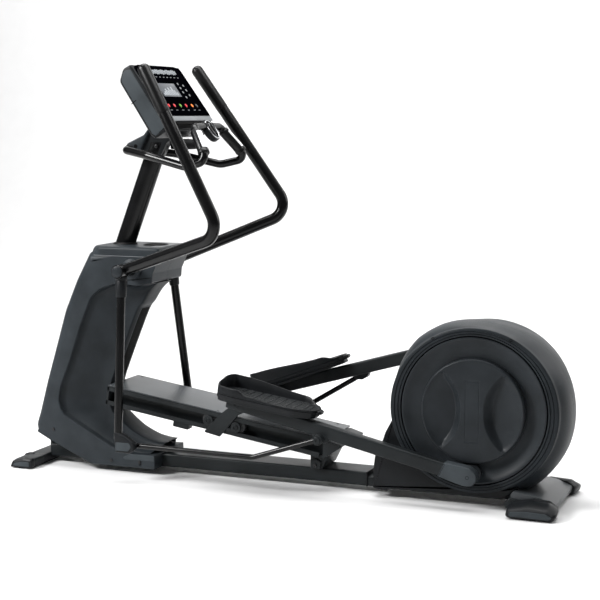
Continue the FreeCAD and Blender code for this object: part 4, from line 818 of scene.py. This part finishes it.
def rocker(name, side):
    to = at(PIVOT[0], 0, PIVOT[1], SWING[name])
    piece = Piece("rocker_weldment_" + name, "tube", "trim", "cap", "disc", to=to)
    piece.boss(0, 147, 0, side, [(0, 23), (1.5, 25.6), (104, 25.6), (106, 24), (106, 22.6)], seg=56)
    piece.boss(0, 251, 0, side, [(0, 22.6), (2.6, 22.6), (5, 21), (7, 16), (7.8, 8), (8, 0.02)],
               seg=48, mark=3)
    for k in range(3):
        piece.boss(0, 253.2 + 1.6 * k, 0, side,
                   [(0, 19.4 - 5 * k), (1.7, 18.4 - 5 * k), (1.7, 17.2 - 5 * k), (0.8, 16.6 - 5 * k)],
                   seg=40, mark=1)
    piece.pipe([(0, side * 205, 0), *handle_line(side)], [68], 22.6, seg=44, ends=(0, 6))
    head = Vector((-1, side * 214, -14))
    foot = Vector((0, side * 264, -640))
    piece.pipe([head, foot], [], 16.6, seg=36)
    down = (foot - head).normalized()
    piece.turned(head + down * 8, down, [(0, 23), (12, 23), (13.5, 22.2), (15, 22.2), (16.5, 23), (60, 21.2),
                                         (72, 20.4), (77, 19.4), (78, 17.6)], mark=1, seg=40)
    cover = [(-12, -608, 6), (30, -622, 14), (74, -650, 14), (74, -676, 16), (52, -692, 14), (-4, -690, 5)]
    piece.plate(cover, 4, side * 249.5, side * 281, 4, 6, mark=1)
    face = [(-2, -650, 4), (54, -650, 6), (66, -664, 10), (50, -682, 10), (-2, -682, 4)]
    piece.plate(face, 4, side * 279, side * 282.2, 0, 1, mark=2)
    piece.finish(name + "_rocker", [name + "_rocker_arm"])


def handle_grip(name, side):
    piece = Piece("foam_grip_" + name, "foam", to=at(PIVOT[0], 0, PIVOT[1], SWING[name]))
    corner, top = handle_line(side)
    along = (top - corner).normalized()
    start = top - along * 196
    piece.turned(start, along, [(0, 22.7), (3, 23.2), (12, 23.5), (182, 23.5), (189, 22.6), (195, 20),
                                (199.5, 16), (202.6, 11), (204.4, 5), (204.8, 0.02)], seg=56)
    obj = piece.finish(name + "_rocker", [name + "_handle_grip"])


def push_rod(name, side):
    x, z, rise = BOSS[name]
    plane = side * ROD_PLANE
    piece = Piece("link_rod_" + name, "tube", "frame", to=at(x, 0, z, rise))
    piece.pipe([(-ROD_LENGTH + 8, plane, 0), (-266, plane, -58), (-10, plane, -1)], [60], 10.0, seg=32)
    for px in (0, -ROD_LENGTH):
        piece.boss(px, ROD_PLANE - 8, 0, side,
                   [(0, 8.1), (0, 17), (1.5, 18.6), (14.5, 18.6), (16, 17), (16, 8.1)], seg=44, mark=1)
    piece.finish(name + "_rod", [name + "_push_rod"])


def rod_stud(name, side):
    x, z, _ = BOSS[name]
    piece = Piece("swivel_stud_" + name, "bolt", "frame")
    piece.boss(x, 187, z, side, [(0, 7.9), (58, 7.9)], seg=28)
    piece.boss(x, 207.6, z, side, [(0, 13), (17, 13), (18.4, 11)], mark=1, seg=36)
    piece.boss(x, 244.4, z, side, [(0, 13), (2.6, 13), (3.6, 11.6), (3.6, 5), (1.4, 4.6), (1.4, 0.02)],
               mark=1, seg=32)
    piece.finish(name + "_stud", [name + "_rod_stud"])


# ------------------------------------------------------------------ console and fixed handlebar
PANEL = at(-401, 0, 1391, 36)


def console():
    shell = Piece("console_housing", "trim", "cap", "ledge", "gap_and_painted_shade", to=PANEL)
    section = [(0, -2, 3), (0, 240, 10), (-38, 245, 20), (-78, 216, 26), (-90, -20, 12), (-83, -42, 8),
               (-28, -46, 8)]
    shell.plate(section, 5, -205, 205, 9, 9)
    for side in (-1, 1):
        band = [(-20, -30, 6), (-12, 226, 14), (-40, 236, 16), (-68, 212, 18), (-80, -22, 8), (-72, -36, 6)]
        shell.plate(band, 5, side * 203, side * 206.2, 0, 1.6, mark=1)
        shell.block((-72, side * 205.4, 118), (26, 3.4, 3), 1, mark=3)
    shell.block((0.6, 0, -11), (5, 380, 22), 2.2, mark=2)
    shell.block((-8, 0, -33), (26, 300, 14), 3, mark=3)
    shell.finish("frame", ["console_shell"])

    face = Piece("console_face", "glass", "digits", "lcd", "print", "gap_and_painted_shade", to=PANEL)
    face.plate([(-196, 4, 8), (196, 4, 8), (196, 228, 18), (150, 238, 60), (-150, 238, 60), (-196, 228, 18)],
               5, -1.0, 2.4, 0.5, 1.2, axis="X")
    top = 235
    for k in range(22):
        y = -132 + k * 12.4
        face.block((2.5, y, top - 27), (0.8, 7.4, 20 + 4 * sin(k * 1.7)), 0.3, mark=1)
    for k in range(9):
        face.block((2.5, -124 + k * 31, top - 52), (0.6, 12, 3), 0.2, mark=3)
    face.block((2.5, -25, top - 113), (0.9, 150, 62), 0.3, mark=2)
    for k, tall in enumerate((10, 18, 30, 22, 36, 26, 40, 24, 14)):
        face.block((3.1, -84 + k * 14, top - 138 + tall / 2), (0.5, 9, tall), 0.2, mark=1)
    for y, rows in ((86, (82, 102, 122, 146)), (126, (90, 112, 136))):
        for s in rows:
            face.turned((2.4, y, top - s), (1, 0, 0), [(0, 5.4), (0.8, 5.0), (1.0, 0.02)], mark=3, seg=24)
    for _, y, _ in BUTTONS:
        face.block((2.5, y, top - 207), (0.6, 17, 2.4), 0.2, mark=3)
        face.turned((2.2, y, BUTTON_ROW), (1, 0, 0), [(0, 10.4), (0.6, 10.2), (0.7, 7.9)], mark=4, seg=32)
    face.finish("frame", ["console_panel"], sharp=40)

    for label, y, mat in BUTTONS:
        key = Piece(label + "_push_button", mat, to=PANEL)
        key.turned((-4.5, y, BUTTON_ROW), (1, 0, 0),
                   [(0, 7.4), (7.4, 7.4), (8.6, 6.8), (9.2, 5.0), (9.3, 0.02)], seg=36)
        key.finish(label + "_button", [label + "_button"])

    tray = Piece("phone_tray", "trim", "rubber")
    loop = [(-444, 1303, 3), (-440, 1268, 5), (-398, 1264, 6), (-390, 1300, 4), (-394, 1302, 1),
            (-403, 1271, 4), (-436, 1273, 4), (-438, 1305, 1)]
    tray.plate(loop, 3, -80, 80, 2, 2)
    for y in (-78, 78):
        tray.plate([(-444, 1303, 3), (-440, 1268, 5), (-398, 1264, 6), (-390, 1302, 4)], 3,
                   y - 2, y + 2, 1, 1)
    for k in range(15):
        tray.block((-392.6, -70 + k * 10, 1283), (3, 3, 30), 1, mark=1)
    tray.finish("frame", ["accessory_tray"])


def bracket():
    piece = Piece("console_casting", "trim", "gap_and_painted_shade", "shroud")
    side_view = [(-600, 1240, 6), (-512, 1240, 4), (-488, 1286, 16), (-466, 1306, 5), (-464, 1321, 3),
                 (-504, 1383, 4), (-532, 1370, 10), (-574, 1318, 16), (-652, 1284, 12), (-655, 1262, 10),
                 (-640, 1243, 12)]
    piece.plate(side_view, 4, -25, 25, 4, 4)
    wing = [(-612, 1240, 8), (-590, 1262, 10), (-560, 1322, 8), (-530, 1372, 8), (-540, 1368, 8),
            (-578, 1320, 16), (-652, 1286, 12), (-656, 1262, 10), (-642, 1241, 12)]
    for side in (-1, 1):
        piece.plate(wing, 4, side * 20, side * 38, 0, 6, mark=2)
        piece.boss(-640, 37, 1262, side, [(0, 20), (6, 20), (8, 18), (8.4, 14.6)], seg=36)
        piece.boss(-612, 37.6, 1276, side, [(0, 8), (1.6, 7.4), (1.6, 3.4), (0.6, 3.2)], mark=1, seg=24)
    piece.finish("frame", ["console_bracket"])


def fixed_bar():
    right = [(-640, 72, 1262), (-515, 128, 1243), (-340, 160, 1203), (-238, 188, 1228), (-324.3, 114, 1350.6),
             (-324.3, 24, 1350.6)]
    line = [(x, -y, z) for x, y, z in reversed(right)] + right
    bends = [34, 72, 66, 26, 24]
    piece = Piece("fixed_handlebar", "tube")
    piece.pipe(line, bends[::-1] + bends, 15.6, seg=36)
    piece.finish("frame", ["static_handlebar"])
    grips = Piece("fixed_grip_sleeves", "foam", "plate")
    for side in (-1, 1):
        low, high = (Vector((x, side * y, z)) for x, y, z in right[3:5])
        along = (high - low).normalized()
        grips.pipe([low + along * 40, low + along * 148], [], 20.6, seg=40, ends=(3, 5))
        grips.turned(low + along * 34, along, [(0, 16.4), (2, 22.2), (12, 22.8), (16, 20.6)], seg=40)
        # The pulse plate on each sleeve is painted flat white, which stands for the chrome plate's bright
        # reflection.
        out = Vector((0.8, side * 0.38, 0.15))
        out = (out - along * out.dot(along)).normalized()
        around = along.cross(out)
        rings = []
        for s in (52, 54, 132, 134):
            squeeze = 0.7 if s in (52, 134) else 1.0
            rings.append([low + along * s + (out * cos(a) + around * sin(a)) * r
                          for r, a in [(21.6, radians(q) * squeeze) for q in range(-40, 41, 8)]
                          + [(19.8, radians(q) * squeeze) for q in range(40, -41, -8)]])
        grips.rings(rings, 1)
    grips.finish("frame", ["fixed_grips"])


def pods():
    to = at(-302, 0, 1342, 36)
    piece = Piece("key_pod_housing", "trim", "chrome", "gap_and_painted_shade", to=to)
    piece.slab(oval_loop(38, 46), 0.6, -27, 4, 12, axis="X", steps=6)
    rim = oval_loop(32.5, 40.5)
    normals = inward(rim)
    ring = []
    for k in range(9):
        t = pi * k / 8
        lip = [p - n * 3 * cos(t) for p, n in zip(rim, normals)]
        ring.append([to @ Vector((0.2 + 2.6 * sin(t), q.x, q.y)) for q in lip])
    piece.rings(ring, 1, caps=OPEN)
    piece.slab(oval_loop(28, 36), 0.1, 0.9, 0, 0.4, axis="X", mark=2)
    piece.block((0.8, 0, 0), (1.6, 3, 60), 0.6, mark=1)
    for side in (-1, 1):
        piece.boss(-13, 24, 20, side, [(0, 18.5), (9, 18.5), (12, 16.6), (12.6, 14.7)], seg=40)
    piece.finish("frame", ["key_pod"])
    for name, side in SIDES.items():
        key = Piece(name + "_rocker_key", "rubber", "print", to=to)
        key.slab([Vector((p.x + side * 14, p.y)) for p in oval_loop(8.6, 27.6)], -1, 4.6, 0, 1.8, axis="X")
        for sign in (-1, 1):
            key.block((4.7, side * 14, sign * 15), (0.8, 7, 1.6), 0.3, mark=1)
        key.block((4.7, side * 14, 15), (0.8, 1.6, 7), 0.3, mark=1)
        key.finish(name + "_quick_key", [name + "_quick_key"])


def oval_loop(wide, tall, count=44):
    return [Vector((wide * copysign(abs(cos(a)) ** 0.9, cos(a)),
                    tall * copysign(abs(sin(a)) ** 0.95, sin(a)))) for a in turns(count)]


# ------------------------------------------------------------------ build
for name, side in SIDES.items():
    for make in (tower_side, housing_side, crank_disc, carriage, rollers, pedal_arm, pedal, rocker,
                 handle_grip, push_rod, rod_stud):
        make(name, side)
for make in (deck, rocker_bearings, mast, base, front_bar, front_caps, rear_bar, rear_caps, hub_covers, ramp,
             console, bracket, fixed_bar, pods):
    make()

# CAD nodes that stay as they are, with the material that each takes.
CARRIED = {
    "levelling_feet": "rubber", "tower_column": "frame", "crank_bearings": "steel", "crank_axle": "steel",
    "crank_pulley": "iron", "flywheel": "iron", "drive_belt": "rubber", "frame_bolts": "bolt",
    "transport_wheels": "nylon",
}
for node, mat in CARRIED.items():
    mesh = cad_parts[node].data
    mesh.materials.clear()
    mesh.materials.append(M[mat])


# ------------------------------------------------------------------ studio
def studio():
    """A pale floor that curves up behind the machine, and four area lights; sizes here are in metres."""
    mesh = bpy.data.meshes.new("studio_floor")
    curve = [(4.0 + 2.5 * sin(a), 2.5 - 2.5 * cos(a)) for a in quarter(16)]
    profile = [(-7.0, 0.0), *curve, (6.5, 8.0)]
    points = [(x, y, z) for y, z in profile for x in (-12.0, 12.0)]
    faces = [(2 * i, 2 * i + 1, 2 * i + 3, 2 * i + 2) for i in range(len(profile) - 1)]
    mesh.from_pydata(points, [], faces)
    mesh.shade_smooth()
    floor = link("studio_floor", mesh)
    mesh.materials.append(surface("paper", (0.8, 0.8, 0.8), 0.55, 200, 0.02, spread=0.01))

    def light(name, where, aim, size, power):
        data = bpy.data.lights.new(name, "AREA")
        data.shape = "RECTANGLE"
        data.size, data.size_y = size
        data.energy = power
        lamp = link(name, data)
        lamp.location = where
        lamp.rotation_euler = (Vector(aim) - Vector(where)).to_track_quat("-Z", "Y").to_euler()

    light("overhead", (0.0, 0.25, 4.2), (0, 0, 0.4), (4.2, 2.2), 225)
    light("backdrop", (0.0, 2.2, 5.2), (0, 6.4, 3.4), (12.0, 1.2), 470)
    light("key", (-3.4, -3.0, 3.4), (-0.1, 0, 0.6), (1.5, 1.5), 340)
    light("rear_rim", (3.4, 2.2, 2.6), (0.3, 0, 0.6), (1.6, 2.0), 50)
    world = bpy.data.worlds.new("studio_world")
    bpy.context.scene.world = world
    world.use_nodes = True
    put(world.node_tree.nodes["Background"], {"Color": (1, 1, 1, 1), "Strength": 0.17})


def camera():
    """The photograph's viewpoint, solved from points on the base, the discs, the ramp and the tower."""
    data = bpy.data.cameras.new("camera")
    data.sensor_width = 36
    data.lens = 88.82
    cam = link("camera", data)
    azimuth, dip = radians(21.394), radians(7.179)
    look = Vector((-sin(azimuth) * cos(dip), cos(azimuth) * cos(dip), -sin(dip)))
    cam.location = (2.0863, -5.1774, 1.4018)
    cam.rotation_euler = look.to_track_quat("-Z", "Y").to_euler()
    bpy.context.scene.camera = cam
    bpy.context.scene.view_settings.view_transform = "Standard"


studio()
camera()
